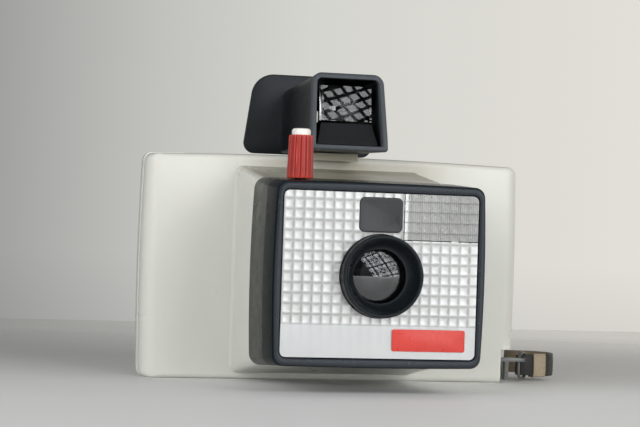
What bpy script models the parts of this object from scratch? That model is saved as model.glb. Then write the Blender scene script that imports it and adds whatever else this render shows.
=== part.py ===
"""Instant camera with a roll-film back, modelled piece by piece.

World frame: metres, +Z up, the lens looks along -Y, +X is the viewer's right.
The origin is the centre of the flat that the camera stands on.
The constants and the helper arguments are millimetres; MM turns them into metres.
"""
import math

import bmesh
import bpy
from mathutils import Matrix, Vector

MM = 0.001
GAP = 0.35                 # clearance between neighbouring pieces

# Body
BODY_W = 156.0
BODY_H = 89.6
BODY_D = 38.0
WALL = 2.0
PED_WALL = 1.6
BOX_WALL = 1.8
BOX_BOW_X = 0.9            # the lens box's sides bulge by this much
BOX_BOW_Z = 0.4
FRONT_Y = -BODY_D / 2
REAR_Y = BODY_D / 2
MID_Z = BODY_H / 2
CORNER_R = 3.0
END_BOW = 0.8              # the two ends bulge by this much at mid height
TOP_BOW = 1.3              # the top bulges by this much at mid width
FRONT_END_R = 6.5          # rounding of the front's upright edges
FRONT_EDGE_R = 2.2         # and of its long edges
REAR_END_R = 17.0          # the rear rounding of the ends, across
REAR_END_D = 30.0          # and along the depth
REAR_EDGE_R = 4.5
SEAM_Y = -11.0             # where the door's end wrap meets the housing
WRAP_X = -61.0             # how far the door's wrap reaches along top and bottom
DOOR_PROUD = 1.0035        # the door stands a little proud of the housing
DOOR_Y = 12.0              # the rest of the door's seam

# Lens box on its pedestal
CX = -3.7                  # the lens box and the finder stand left of the middle
BOX_Z = 43.9
PED_BACK_Y = FRONT_Y + 1.0
PED_FRONT_Y = -65.6
PED_W = 75.2
BOX_REAR_W = 81.6
BOX_REAR_H = 70.2
BOX_W = 78.2
BOX_H = 66.4
BOX_FRONT_Y = -99.0
PLATE_W = 73.6
PLATE_H = 60.1
PLATE_FRONT_Y = -98.4
PLATE_T = 1.4
LIP_Y = -96.7              # the ledge that the plate rests on

# Lens
LENS = Vector((-3.8, 0.0, 43.7))
BARREL_R = 15.1
BARREL_FRONT_Y = -103.4
LENS_R = 10.1
LENS_Y = -97.0

# Windows in the face plate: x0, x1, z0, z1
METER_WIN = (-12.4, 4.0, 59.6, 72.4)
FLASH_X0 = 4.5
FLASH_Z0 = 56.9

# Exposure knob
KNOB = Vector((-31.3, -83.0, 78.5))
KNOB_R = 4.95
KNOB_TOP_R = 4.5
KNOB_H = 16.0
KNOB_FLUTES = 14

# Shutter and aperture pivots (x, z), and the meshing pinion
VANE_PIVOT = (-27.0, 40.0)
BLADE_PIVOT = (12.0, 26.0)
PINION_R = 3.5
ARC_R = 19.5

# Finder
FINDER_FRONT_Y = FRONT_Y - 30.6
FINDER_REAR_Y = REAR_Y - 2.0
FINDER_Z0 = 91.0
FINDER_Z1 = 121.3
FINDER_W = 30.0
FINDER_TOP_R = 4.0
FINDER_LOW_R = 1.3
FINDER_LEAN = 6.2
FINDER_LEAN_RUN = 20.0
FINDER_SPREAD = 0.09
GLASS_W = 20.0                # front glass of the finder
GLASS_H = 13.8
GLASS_Z = 109.6
GLASS_Y = FINDER_FRONT_Y + 6.4
GLASS_T = 4.4
GLASS_LEAN = 0.15
HOOD_HALF_W = 12.2            # black floor under the front glass, narrower at its top
HOOD_TAPER = 0.24
HOOD_Z0 = 93.4
HOOD_Z1 = 101.8
EYE_GLASS_Z = 107.4
EYE_PLATE_W = 55.0
EYE_PLATE_Z0 = 91.2
EYE_PLATE_Z1 = 124.4

# Film path
GATE_Y = 9.0
ROLLER_R = 4.4
ROLLER_X = -66.0
ROLLER_SPACING = 9.6
ROLLER_Y = 1.5

# Door hinge axis (x, y)
HINGE = (66.0, 15.4)
KNUCKLE_R = 2.4
HINGE_PIN_R = 0.8

# Strap hardware at the lower right corner
LUG_HOLE = (81.2, -14.0)
STRAP_W = 9.4
STRAP_T = 1.3


# ---------------------------------------------------------------- helpers

def material(name, color, rough, metal=0.0):
    """A Principled material."""
    found = bpy.data.materials.get(name)
    if found:
        return found
    mat = bpy.data.materials.new(name)
    mat.use_nodes = True
    shader = mat.node_tree.nodes["Principled BSDF"]
    shader.inputs["Base Color"].default_value = (*color, 1.0)
    shader.inputs["Roughness"].default_value = rough
    shader.inputs["Metallic"].default_value = metal
    return mat


CREAM = ("cream_plastic", (0.62, 0.62, 0.56), 0.35)
BLACK = ("black_plastic", (0.012, 0.014, 0.017), 0.25)
MATTE = ("matte_black", (0.02, 0.02, 0.021), 0.7)
SATIN = ("grey_black_plastic", (0.09, 0.1, 0.11), 0.45)
SILVER = ("silver_foil", (0.75, 0.75, 0.74), 0.25, 1.0)
SMOKE = ("smoked_plastic", (0.05, 0.05, 0.055), 0.2)
CLEAR = ("clear_plastic", (0.55, 0.56, 0.56), 0.15)
RED = ("red_plastic", (0.45, 0.03, 0.025), 0.35)
WHITE = ("white_plastic", (0.8, 0.78, 0.74), 0.4)
GLASS = ("optical_glass", (0.7, 0.75, 0.78), 0.03)
STEEL = ("bright_steel", (0.55, 0.55, 0.55), 0.3, 1.0)
BLUED = ("blackened_metal", (0.03, 0.03, 0.03), 0.5, 1.0)
BRASS = ("brass", (0.6, 0.42, 0.16), 0.35, 1.0)
PAPER = ("backing_paper", (0.35, 0.3, 0.22), 0.8)
LEATHER = ("black_leather", (0.018, 0.018, 0.02), 0.5)


def finish(name, bm, look, smooth=35.0):
    """Turn a bmesh in millimetres into a named object in metres."""
    bmesh.ops.remove_doubles(bm, verts=bm.verts, dist=1e-5)
    bmesh.ops.recalc_face_normals(bm, faces=bm.faces)
    bmesh.ops.scale(bm, vec=(MM, MM, MM), verts=bm.verts)
    mesh = bpy.data.meshes.new(name)
    bm.to_mesh(mesh)
    bm.free()
    mesh.shade_smooth()
    mesh.set_sharp_from_angle(angle=math.radians(smooth))
    obj = bpy.data.objects.new(name, mesh)
    bpy.context.collection.objects.link(obj)
    if look:
        mesh.materials.append(material(*look))
    return obj


def add_ring_stack(bm, rings, closed=False):
    """Skin a stack of equal rings; the ends are capped unless it closes on itself."""
    rows = [[bm.verts.new(p) for p in ring] for ring in rings]
    pairs = list(zip(rows, rows[1:]))
    if closed:
        pairs.append((rows[-1], rows[0]))
    for a, b in pairs:
        n = len(a)
        for i in range(n):
            j = (i + 1) % n
            bm.faces.new((a[i], a[j], b[j], b[i]))
    if not closed:
        bm.faces.new(rows[0])
        bm.faces.new(list(reversed(rows[-1])))
    return rows


def stack(name, rings, look, closed=False, smooth=35.0):
    bm = bmesh.new()
    add_ring_stack(bm, rings, closed)
    return finish(name, bm, look, smooth)


def box(name, lo, hi, look=None):
    """A block between two corners."""
    (x0, y0, z0), (x1, y1, z1) = lo, hi
    ring = ((x0, y0), (x1, y0), (x1, y1), (x0, y1))
    return stack(name, [[(x, y, z) for x, y in ring] for z in (z0, z1)], look)


def frame_axes(axis):
    """Two unit vectors square to an axis, for circles round it."""
    a = Vector(axis).normalized()
    u = Vector((1, 0, 0)) if abs(a.x) < 0.9 else Vector((0, 1, 0))
    u = (u - a * u.dot(a)).normalized()
    return u, a.cross(u), a


def turned(name, centre, axis, profile, look, n=24, closed=False, smooth=35.0):
    """Turn a profile of (radius, distance along the axis) round an axis."""
    u, v, a = frame_axes(axis)
    c = Vector(centre)
    rings = []
    for r, h in profile:
        ring = []
        for i in range(n):
            t = 2 * math.pi * i / n
            ring.append(c + a * h + (u * math.cos(t) + v * math.sin(t)) * r)
        rings.append(ring)
    return stack(name, rings, look, closed, smooth)


def rod(name, centre, axis, r, h0, h1, look=None, n=16):
    return turned(name, centre, axis, [(r, h0), (r, h1)], look, n)


def tube(name, centre, axis, r_out, r_in, h0, h1, look, n=24):
    profile = [(r_out, h0), (r_out, h1), (r_in, h1), (r_in, h0)]
    return turned(name, centre, axis, profile, look, n, closed=True)


def rounded(cx, cz, w, h, r, n=4, runs=1, low=None):
    """Points of a rounded rectangle; runs cuts its straight sides, low is its lower corners' radius."""
    pts = []
    corners = ((1, 1, 0), (-1, 1, 90), (-1, -1, 180), (1, -1, 270))
    for sx, sz, start in corners:
        turn = low if low and sz < 0 else r
        for k in range(n + 1):
            t = math.radians(start + 90 * k / n)
            x = cx + sx * (w / 2 - turn) + turn * math.cos(t)
            z = cz + sz * (h / 2 - turn) + turn * math.sin(t)
            pts.append((x, z))
    out = []
    for i, (x0, z0) in enumerate(pts):
        out.append((x0, z0))
        if (i + 1) % (n + 1) == 0:
            x1, z1 = pts[(i + 1) % len(pts)]
            out += [(x0 + (x1 - x0) * k / runs, z0 + (z1 - z0) * k / runs) for k in range(1, runs)]
    return out


def at_y(points, y):
    """Lift (x, z) points to the plane y."""
    return [(x, y, z) for x, z in points]


def prism_y(name, points, y0, y1, look=None, smooth=35.0):
    """An outline in (x, z) extruded along Y."""
    return stack(name, [at_y(points, y0), at_y(points, y1)], look, smooth=smooth)


def prism_z(name, points, z0, z1, look=None):
    """An outline in (x, y) extruded along Z."""
    return stack(name, [[(x, y, z) for x, y in points] for z in (z0, z1)], look)


def combine(obj, tool, operation):
    """Apply a tool object to another; the tool stays as a hidden guide."""
    tool.hide_render = True
    tool.display_type = "WIRE"
    mod = obj.modifiers.new(operation.lower(), "BOOLEAN")
    mod.operation = operation
    mod.object = tool
    mod.solver = "EXACT"


def cut(obj, *tools):
    for tool in tools:
        combine(obj, tool, "DIFFERENCE")


def join(obj, *tools):
    for tool in tools:
        combine(obj, tool, "UNION")


def pivot(name, point, *objects):
    """An empty on a joint's axis, carrying the pieces that turn with it."""
    empty = bpy.data.objects.new(name, None)
    bpy.context.collection.objects.link(empty)
    empty.location = Vector(point) * MM
    for obj in objects:
        obj.parent = empty
        obj.matrix_parent_inverse = Matrix.Translation(-empty.location)
    return empty


def helix(name, centre, r, wire, z0, z1, turns, look, per_turn=12, sides=6):
    """A compression spring along Z as one closed wire."""
    rings = []
    steps = turns * per_turn
    for i in range(steps + 1):
        t = 2 * math.pi * i / per_turn
        out = Vector((math.cos(t), math.sin(t), 0))
        c = Vector(centre) + out * r
        c.z = z0 + wire + (z1 - z0 - 2 * wire) * i / steps
        ring = []
        for k in range(sides):
            a = 2 * math.pi * k / sides
            ring.append(c + (out * math.cos(a) + Vector((0, 0, 1)) * math.sin(a)) * wire)
        rings.append(ring)
    return stack(name, rings, look)


# ---------------------------------------------------------------- body shell

def body_outline(half_w, half_h, r, y):
    """Bowed rounded rectangle at a depth, every side cut into short runs."""
    pts = []
    corners = ((1, 1, 0), (-1, 1, 90), (-1, -1, 180), (1, -1, 270))
    for k, (sx, sz, start) in enumerate(corners):
        for i in range(5):
            t = math.radians(start + 22.5 * i)
            pts.append((sx * (half_w - r) + r * math.cos(t), sz * (half_h - r) + r * math.sin(t)))
        t = math.radians(start + 90)
        tx, tz, _ = corners[(k + 1) % 4]
        a = Vector(pts[-1])
        b = Vector((tx * (half_w - r) + r * math.cos(t), tz * (half_h - r) + r * math.sin(t)))
        steps = 8
        pts += [tuple(a.lerp(b, i / steps)) for i in range(1, steps)]
    out = []
    for x, z in pts:
        u = x / half_w
        v = z / half_h
        sag = TOP_BOW * v * u * u if v > 0 else 0.0
        out.append((x - END_BOW * u * v * v, y, MID_Z + z - sag))
    return out


def rounding(radius, depth, run=None):
    """How far a rounded edge has drawn in at a depth behind its face; run is its depth."""
    run = run or radius
    if depth >= run:
        return 0.0
    return radius - radius * math.sqrt(1 - ((run - depth) / run) ** 2)


def body_solid(name, inset=0.0, look=None, proud=1.0):
    """The pillow-shaped body; inset gives its cavity and proud swells it about its base."""
    half_w = BODY_W / 2 - inset
    half_h = BODY_H / 2 - inset
    corner = max(CORNER_R - inset, 1.2)
    rings = []
    front = FRONT_END_R - inset, max(FRONT_EDGE_R - inset, 0.6)
    rear = REAR_END_R - inset, REAR_EDGE_R - inset
    for depth in (0.0, 0.25, 0.8, 1.8, 3.4, front[0]):
        dx, dz = rounding(front[0], depth), rounding(front[1], depth)
        rings.append(body_outline(half_w - dx, half_h - dz, corner, FRONT_Y + inset + depth))
    run = REAR_END_D - inset
    for depth in (run, 23.0, 17.0, 12.0, 8.0, 4.5, 2.2, 0.9, 0.2, 0.0):
        dx, dz = rounding(rear[0], depth, run), rounding(rear[1], depth)
        rings.append(body_outline(half_w - dx, half_h - dz, corner, REAR_Y - inset - depth))
    rings = [[(x * proud, y, z * proud) for x, y, z in ring] for ring in rings]
    return stack(name, rings, look, smooth=30)


def seam_region(name, gap):
    """What belongs to the door: its back panel and the wrap over the left end."""
    far = 100.0
    pts = ((-far, SEAM_Y + gap), (WRAP_X - gap, SEAM_Y + gap), (WRAP_X - gap, DOOR_Y + gap),
           (HINGE[0] - 2.8, DOOR_Y + gap), (HINGE[0] - 2.8, far), (-far, far))
    return prism_z(name, pts, -10, 110)


def housing_region(name):
    """The same region a little larger, with room for the hinge knuckles."""
    far = 101.0
    x1 = HINGE[0] + 3.3
    pts = ((-far, SEAM_Y), (WRAP_X, SEAM_Y), (WRAP_X, DOOR_Y),
           (x1, DOOR_Y), (x1, far), (-far, far))
    return prism_z(name, pts, -11, 111)


def pedestal_ring(y, inset, flare=0.0):
    f = (FRONT_Y - y) / (FRONT_Y - PED_FRONT_Y)
    half_h = 41.0 - 6.4 * f
    cz = 43.6 + 0.3 * f
    w = PED_W - 0.8 * f + 2 * flare - 2 * inset
    return at_y(rounded(CX, cz, w, 2 * (half_h - inset), 3.2 - min(inset, 2.0), 3), y)


def pedestal_solid(name):
    rings = [pedestal_ring(PED_BACK_Y, 0, 1.0), pedestal_ring(FRONT_Y, 0, 1.0),
             pedestal_ring(FRONT_Y - 0.5, 0, 0.4), pedestal_ring(FRONT_Y - 1.6, 0, 0.1),
             pedestal_ring(FRONT_Y - 3.0, 0), pedestal_ring(PED_FRONT_Y, 0)]
    return stack(name, rings, None)


def knuckle(name, z0, z1, to_x, y0, y1):
    """A hinge knuckle with the web that ties it to its shell."""
    hx, hy = HINGE
    barrel = rod(name, (hx, hy, 0), (0, 0, 1), KNUCKLE_R, z0, z1, n=20)
    lo, hi = sorted((hx + math.copysign(1.2, to_x - hx), to_x))
    web = box(name + "_web", (lo, y0, z0), (hi, y1, z1))
    return barrel, web


def make_front_housing():
    obj = body_solid("front_housing", look=CREAM)
    join(obj, pedestal_solid("guide_pedestal"))
    cut(obj, body_solid("guide_cavity", WALL))
    inner = [pedestal_ring(y, PED_WALL) for y in (FRONT_Y + 4, PED_FRONT_Y + 2.0)]
    cut(obj, stack("guide_pedestal_cavity", inner, None))
    cut(obj, housing_region("guide_housing_region"))
    hole = at_y(rounded(LENS.x, BOX_Z, 31, 27, 2), PED_FRONT_Y - 2)
    hole_back = at_y(rounded(LENS.x, BOX_Z, 31, 27, 2), PED_FRONT_Y + 6)
    cut(obj, stack("guide_cone_hole", [hole, hole_back], None))
    join(obj, box("guide_recess_lining", (69.3, -17.6, 1.0), (75.6, -4.6, 15.4)))
    cut(obj, box("guide_recess", (71.5, -25, -2), (85, -6.4, 13.6)))
    cut(obj, box("guide_lug_slot", (64.5, -16.9, 8.15), (80, -11.1, 10.35)))
    for k, (z0, z1) in enumerate(((9.0, 19.5), (68.5, 80.0))):
        barrel, web = knuckle("guide_knuckle_%d" % k, z0, z1, 69.9, 12.4, 14.7)
        join(obj, barrel, web)
    cut(obj, rod("guide_pin_bore_a", (*HINGE, 0), (0, 0, 1), HINGE_PIN_R + 0.3, 4, 86, n=16))
    for k, (x, z) in enumerate(SCREWS):
        cut(obj, rod("guide_screw_hole_%d" % k, (x, 0, z), (0, 1, 0), 1.6, -72, -58, n=12))
    return obj


def make_back_door():
    obj = body_solid("back_door", look=CREAM, proud=DOOR_PROUD)
    cut(obj, body_solid("guide_door_cavity", WALL))
    combine(obj, seam_region("guide_door_region", GAP), "INTERSECT")
    barrel, web = knuckle("guide_knuckle_door", 20.0, 68.0, 61.6, 15.4, 17.5)
    join(obj, barrel, web)
    cut(obj, rod("guide_pin_bore_b", (*HINGE, 0), (0, 0, 1), HINGE_PIN_R + 0.3, 4, 86, n=16))
    cut(obj, box("guide_exit_slot", (-90, ROLLER_Y - 1.5, 8), (-72, ROLLER_Y + 1.5, 82)))
    cut(obj, box("guide_latch_slot", (-60.4, 14, 38.6), (-47.6, 24, 51.4)))
    return obj


# ---------------------------------------------------------------- inside the body

def cone_half(y):
    """Half sizes of the light cone at a depth."""
    run = y - (BARREL_FRONT_Y + 13.4)
    return 4.0 + run * 0.325, 4.0 + run * 0.23


def make_film_chamber():
    """Light cone with the film gate as its rear flange."""
    front = -82.0
    wall = 0.95
    rings = []
    for y, extra in ((front, wall), (GATE_Y, wall), (GATE_Y, 7.0), (GATE_Y + 1.5, 7.0)):
        hx, hz = cone_half(y)
        rings.append(at_y(rounded(LENS.x, BOX_Z, 2 * (hx + extra), 2 * (hz + extra), 1.5, 2), y))
    for y in (GATE_Y + 1.5, front):
        hx, hz = cone_half(y)
        rings.append(at_y(rounded(LENS.x, BOX_Z, 2 * hx, 2 * hz, 0.8, 2), y))
    return stack("film_chamber", rings, MATTE, closed=True)


def make_rollers():
    """Two pressure rollers with their journals, and the frame that carries them."""
    for name, side in (("front_roller", -1), ("rear_roller", 1)):
        profile = [(1.5, 4.2), (1.5, 6.6), (ROLLER_R, 6.6), (ROLLER_R, 82.6), (1.5, 82.6),
                   (1.5, 84.8)]
        centre = (ROLLER_X, ROLLER_Y + side * ROLLER_SPACING / 2, 0)
        roller = turned(name, centre, (0, 0, 1), profile, STEEL, n=28)
        pivot(name + "_axis", centre, roller)
    y0, y1 = ROLLER_Y - 10.2, ROLLER_Y + 10.0
    frame = box("roller_frame", (ROLLER_X - 3.1, y0, 3.8), (ROLLER_X + 3.1, y1, 85.0), BLUED)
    cut(frame, box("guide_frame_window", (ROLLER_X - 8, y0 + 0.8, 5.8),
                   (ROLLER_X + 8, y1 - 0.8, 83.4)))
    for k, side in enumerate((-1, 1)):
        centre = (ROLLER_X, ROLLER_Y + side * ROLLER_SPACING / 2, 0)
        cut(frame, rod("guide_journal_%d" % k, centre, (0, 0, 1), 1.85, 0, 90))


def make_film_rolls():
    """The two rolls of the film pack, each wound on its own core."""
    for name, x, y, r in (("positive_roll", 51.8, -8.0, 7.4), ("negative_roll", 65.2, 3.0, 6.9)):
        profile = [(r, 6.4), (r, 83.0), (3.0, 83.0), (3.0, 6.4)]
        roll = turned(name, (x, y, 0), (0, 0, 1), profile, PAPER, n=24, closed=True)
        core = name.replace("roll", "spool")
        spool = turned(core, (x, y, 0), (0, 0, 1),
                       [(1.4, 3.2), (1.4, 5.0), (2.7, 5.0), (2.7, 84.6), (1.4, 84.6), (1.4, 86.4)],
                       WHITE, n=16)
        pivot(name + "_axis", (x, y, 0), roll, spool)


def make_batteries():
    """Two penlight cells, their springs and contact strips."""
    y = 1.3
    for side, x in (("left", -46.5), ("right", 38.8)):
        profile = [(7.1, 19.0), (7.1, 67.4), (2.6, 67.8), (2.6, 69.0)]
        turned("battery_" + side, (x, y, 0), (0, 0, 1), profile, STEEL, n=20)
        helix("battery_spring_" + side, (x, y, 0), 4.2, 0.4, 11.0, 18.7, 3, STEEL)
        box("battery_contact_" + side, (x - 4, y - 4, 69.4), (x + 4, y + 4, 70.0), BRASS)


def make_back_pieces():
    """Pressure plate, its spring and the door's latch."""
    plate = at_y(rounded(LENS.x, BOX_Z, 76, 60, 3), 12.4)
    back = at_y(rounded(LENS.x, BOX_Z, 76, 60, 3), 13.4)
    stack("pressure_plate", [plate, back], STEEL)
    half = 26.0
    steps = 12
    near = []
    far = []
    for k in range(steps + 1):
        x = -half + 2 * half * k / steps
        y = 13.8 + 2.2 * (1 - (x / half) ** 2)
        near.append((LENS.x + x, y))
        far.append((LENS.x + x, y + 0.5))
    prism_z("pressure_spring", near + far[::-1], 38, 50, STEEL)
    latch = box("door_latch", (-60.0, 16.4, 39.0), (-52.0, 20.0, 51.0), BLACK)
    join(latch, box("guide_latch_flange", (-62.4, 15.2, 36.4), (-49.6, 16.7, 53.6)))
    for k in range(3):
        x = -58.0 + 2 * k
        cut(latch, box("guide_latch_rib_%d" % k, (x - 0.4, 19.4, 38), (x + 0.4, 21, 52)))
    rod("hinge_pin", (*HINGE, 0), (0, 0, 1), HINGE_PIN_R, 8.4, 80.6, STEEL, n=12)


# ---------------------------------------------------------------- lens box

SCREWS = ((-33.0, 14.6), (25.4, 14.6), (-33.0, 73.4), (25.4, 73.4))


def box_ring(y, inset, r, n=4):
    f = (PED_FRONT_Y - y) / (PED_FRONT_Y - BOX_FRONT_Y)
    w = BOX_REAR_W + (BOX_W - BOX_REAR_W) * f - 2 * inset
    h = BOX_REAR_H + (BOX_H - BOX_REAR_H) * f - 2 * inset
    ring = []
    for x, z in rounded(CX, BOX_Z, w, h, r, n, 6):
        u = (x - CX) / (w / 2)
        v = (z - BOX_Z) / (h / 2)
        ring.append((x + BOX_BOW_X * u * (1 - v * v), y, z + BOX_BOW_Z * v * (1 - u * u)))
    return ring


def make_front_box():
    """Black lens box: a drafted sleeve with a ledge for the face plate."""
    rear = PED_FRONT_Y - GAP
    rings = [box_ring(rear, 0.3, 4.0), box_ring(rear - 0.4, 0, 4.2),
             box_ring(BOX_FRONT_Y + 1.2, 0, 3.6), box_ring(BOX_FRONT_Y + 0.35, 0.25, 3.4),
             box_ring(BOX_FRONT_Y, 0.9, 3.0)]
    recess = rounded(CX, BOX_Z, PLATE_W + 2 * GAP, PLATE_H + 2 * GAP, 2.4, 4, 6)
    opening = rounded(CX, BOX_Z, PLATE_W - 3.4, PLATE_H - 3.4, 1.4, 4, 6)
    rings += [at_y(recess, BOX_FRONT_Y), at_y(recess, LIP_Y), at_y(opening, LIP_Y),
              at_y(opening, LIP_Y + 1.4), box_ring(LIP_Y + 1.4, BOX_WALL, 2.0),
              box_ring(rear, BOX_WALL, 2.4)]
    obj = stack("front_box", rings, BLACK, closed=True)
    cut(obj, rod("guide_knob_hole", (KNOB.x, KNOB.y, 0), (0, 0, 1), 2.9, 70, 90))
    cut(obj, box("guide_ejector_slot", (25, -83.2, 61.8), (50, -76.8, 68.2)))
    return obj


def make_face_plate():
    pts = rounded(CX, BOX_Z, PLATE_W, PLATE_H, 2.1)
    obj = prism_y("face_plate", pts, PLATE_FRONT_Y, PLATE_FRONT_Y + PLATE_T, SILVER)
    cut(obj, rod("guide_barrel_hole", LENS, (0, 1, 0), BARREL_R + GAP, -110, -90, n=40))
    x0, x1, z0, z1 = METER_WIN
    win = rounded((x0 + x1) / 2, (z0 + z1) / 2, x1 - x0, z1 - z0, 2.0, 3)
    cut(obj, prism_y("guide_meter_window", win, -110, -90))
    cut(obj, box("guide_flash_window", (FLASH_X0, -110, FLASH_Z0), (60, -90, 90)))
    return obj


def make_label_plate():
    """The small red name plate, left blank."""
    pts = rounded(15.1, 20.6, 27.8, 8.0, 0.6, 2)
    prism_y("label_plate", pts, PLATE_FRONT_Y - 0.55, PLATE_FRONT_Y - 0.3, RED)


def make_windows():
    x0, x1, z0, z1 = METER_WIN
    g = GAP
    win = rounded((x0 + x1) / 2, (z0 + z1) / 2, x1 - x0 - 2 * g, z1 - z0 - 2 * g, 1.8, 3)
    prism_y("meter_window", win, PLATE_FRONT_Y - 0.2, PLATE_FRONT_Y + 1.2, SMOKE)
    x1 = CX + PLATE_W / 2
    z1 = BOX_Z + PLATE_H / 2
    r = 2.1
    pts = [(FLASH_X0 + g, FLASH_Z0 + g), (x1, FLASH_Z0 + g)]
    for k in range(5):
        t = math.radians(90 * k / 4)
        pts.append((x1 - r + r * math.cos(t), z1 - r + r * math.sin(t)))
    pts.append((FLASH_X0 + g, z1))
    cover = prism_y("flash_cover", pts, PLATE_FRONT_Y, PLATE_FRONT_Y + 1.2, CLEAR)
    pivot("flash_cover_axis", (FLASH_X0 + g + 0.7, PLATE_FRONT_Y + 0.6, 0), cover)


def make_flash():
    """Reflector pan, bulb socket, and the pusher that throws the bulb out."""
    cx, cz = 17.6, 64.9
    rings = []
    for y, w, h in ((-94.6, 23.4, 12.4), (-88, 19.5, 10.8), (-84.4, 11.0, 9.4)):
        rings.append(at_y(rounded(cx, cz, w, h, 2.4, 3), y))
    for y, w, h in ((-85.2, 9.0, 7.6), (-88.6, 18.0, 9.4), (-94.6, 21.8, 10.8)):
        rings.append(at_y(rounded(cx, cz, w, h, 1.8, 3), y))
    stack("flash_reflector", rings, SILVER, closed=True)
    profile = [(4.6, -84.0), (4.6, -74.0), (1.2, -74.0), (1.2, -77.0), (3.4, -77.0), (3.4, -84.0)]
    turned("flash_socket", (cx, 0, cz), (0, 1, 0), profile, MATTE, n=20, closed=True)
    pusher = box("bulb_ejector", (31.4, -82.6, 62.4), (37.6, -77.4, 67.6), BLACK)
    join(pusher, rod("guide_ejector_stem", (0, -80, 65), (1, 0, 0), 1.4, 26.4, 32.0, n=12))


def make_barrel():
    """Lens barrel with its deep hood, open at the rear for the lens."""
    front = BARREL_FRONT_Y
    profile = [(BARREL_R + 0.0, -97.2), (BARREL_R, front + 0.9), (BARREL_R - 0.35, front + 0.2),
               (BARREL_R - 0.9, front), (BARREL_R - 1.6, front + 0.3), (12.9, front + 2.2),
               (LENS_R + 1.4, LENS_Y - 1.6), (LENS_R - 0.1, LENS_Y - 0.8), (LENS_R - 0.1, LENS_Y - 0.2),
               (LENS_R + 0.3, LENS_Y - 0.2), (LENS_R + 0.3, -87.6), (LENS_R + 2.0, -87.6),
               (LENS_R + 2.0, -94.0), (16.8, -94.0), (16.8, -95.1), (13.6, -95.1), (13.6, -97.2)]
    turned("lens_barrel", LENS, (0, 1, 0), profile, BLACK, n=48, closed=True)


def make_lens():
    """Single meniscus lens, bulging to the front, and its retaining ring."""
    rings = []
    n = 5
    front = LENS_Y + 0.1
    for k in range(1, n + 1):
        r = (LENS_R - 0.1) * k / n
        rings.append((r, front + 1.5 * (r / LENS_R) ** 2))
    for k in range(n, 0, -1):
        r = (LENS_R - 0.1) * k / n
        rings.append((r, front + 1.6 + 1.2 * (r / LENS_R) ** 2))
    turned("lens_element", LENS, (0, 1, 0), rings, GLASS, n=32)
    tube("lens_retainer", LENS, (0, 1, 0), LENS_R, 6.5, LENS_Y + 3.1, LENS_Y + 4.0, MATTE, n=24)


def make_shutter():
    """Shutter plate with its pins, the moving blade and the aperture vane."""
    lx, lz = LENS.x, LENS.z
    pts = ((-29.4, 21), (21, 21), (21, 55), (4, 59), (-21, 59), (-29.4, 48))
    plate = prism_y("shutter_plate", pts, -83.9, -82.5, MATTE)
    cut(plate, rod("guide_exposure_hole", (lx, 0, lz), (0, 1, 0), 3.2, -90, -80))
    for k, (x, z) in enumerate((VANE_PIVOT, BLADE_PIVOT)):
        join(plate, rod("guide_pivot_pin_%d" % k, (x, 0, z), (0, 1, 0), 1.1, -87.5, -83.0, n=12))

    ax, az = VANE_PIVOT
    dx, dz = lx - ax, lz - az
    aim = math.degrees(math.atan2(dz, dx))
    arm = math.hypot(dx, dz)
    outline = []
    for a in (-12, -6, 0, 7, 14, 21, 28, 35):
        t = math.radians(aim + a)
        outline.append((ax + (arm + 4.6) * math.cos(t), az + (arm + 4.6) * math.sin(t)))
    for a in (60, 80):
        t = math.radians(aim + a)
        outline.append((ax + (ARC_R - 4) * math.cos(t), az + (ARC_R - 4) * math.sin(t)))
    for a in (88, 92, 96, 100, 104, 108):
        t = math.radians(aim + a)
        outline.append((ax + ARC_R * math.cos(t), az + ARC_R * math.sin(t)))
    for a in (140, 180, 230, 280, 320):
        t = math.radians(aim + a)
        outline.append((ax + 3.4 * math.cos(t), az + 3.4 * math.sin(t)))
    vane = prism_y("aperture_vane", outline, -87.2, -86.6, BLUED)
    cut(vane, rod("guide_vane_bore", (ax, 0, az), (0, 1, 0), 1.4, -90, -80, n=12))
    for k, (a, r) in enumerate(((0, 3.0), (14, 1.7), (28, 1.0))):
        t = math.radians(aim + a)
        hole = (ax + arm * math.cos(t), 0, az + arm * math.sin(t))
        cut(vane, rod("guide_stop_%d" % k, hole, (0, 1, 0), r, -90, -80, n=16))
    pivot("aperture_vane_axis", (ax, -86.9, az), vane)

    bx, bz = BLADE_PIVOT
    out = Vector((lx - bx, lz - bz)).normalized()
    side = Vector((-out.y, out.x))
    reach = math.hypot(lx - bx, lz - bz)
    outline = []
    for k in range(9):
        t = math.radians(-100 + 200 * k / 8)
        p = out * (reach + 5.2 * math.cos(t)) + side * 5.2 * math.sin(t)
        outline.append((bx + p.x, bz + p.y))
    for k in range(7):
        t = math.radians(110 + 140 * k / 6)
        p = out * 3.2 * math.cos(t) + side * 3.2 * math.sin(t)
        outline.append((bx + p.x, bz + p.y))
    blade = prism_y("shutter_blade", outline, -85.4, -84.8, BLUED)
    cut(blade, rod("guide_blade_bore", (bx, 0, bz), (0, 1, 0), 1.4, -90, -80, n=12))
    pivot("shutter_blade_axis", (bx, -85.1, bz), blade)


def make_meter():
    """Exposure meter: dark tunnel behind its window, with the comparison lamp."""
    x0, x1, z0, z1 = -11.4, 3.0, 60.8, 71.4
    rings = []
    for y, w in ((-95.0, 0.0), (-74.0, 0.0), (-74.0, 1.0), (-95.0, 1.0)):
        pts = rounded((x0 + x1) / 2, (z0 + z1) / 2, x1 - x0 - 2 * w, z1 - z0 - 2 * w, 1.6 - w, 2)
        rings.append(at_y(pts, y))
    stack("meter_tunnel", rings, MATTE, closed=True)
    cz = (z0 + z1) / 2
    profile = [(0.6, -86.0), (1.5, -85.2), (1.5, -82.4), (1.9, -82.4), (1.9, -77.0)]
    turned("meter_lamp", ((x0 + x1) / 2, 0, cz), (0, 1, 0), profile, GLASS, n=12)


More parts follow.
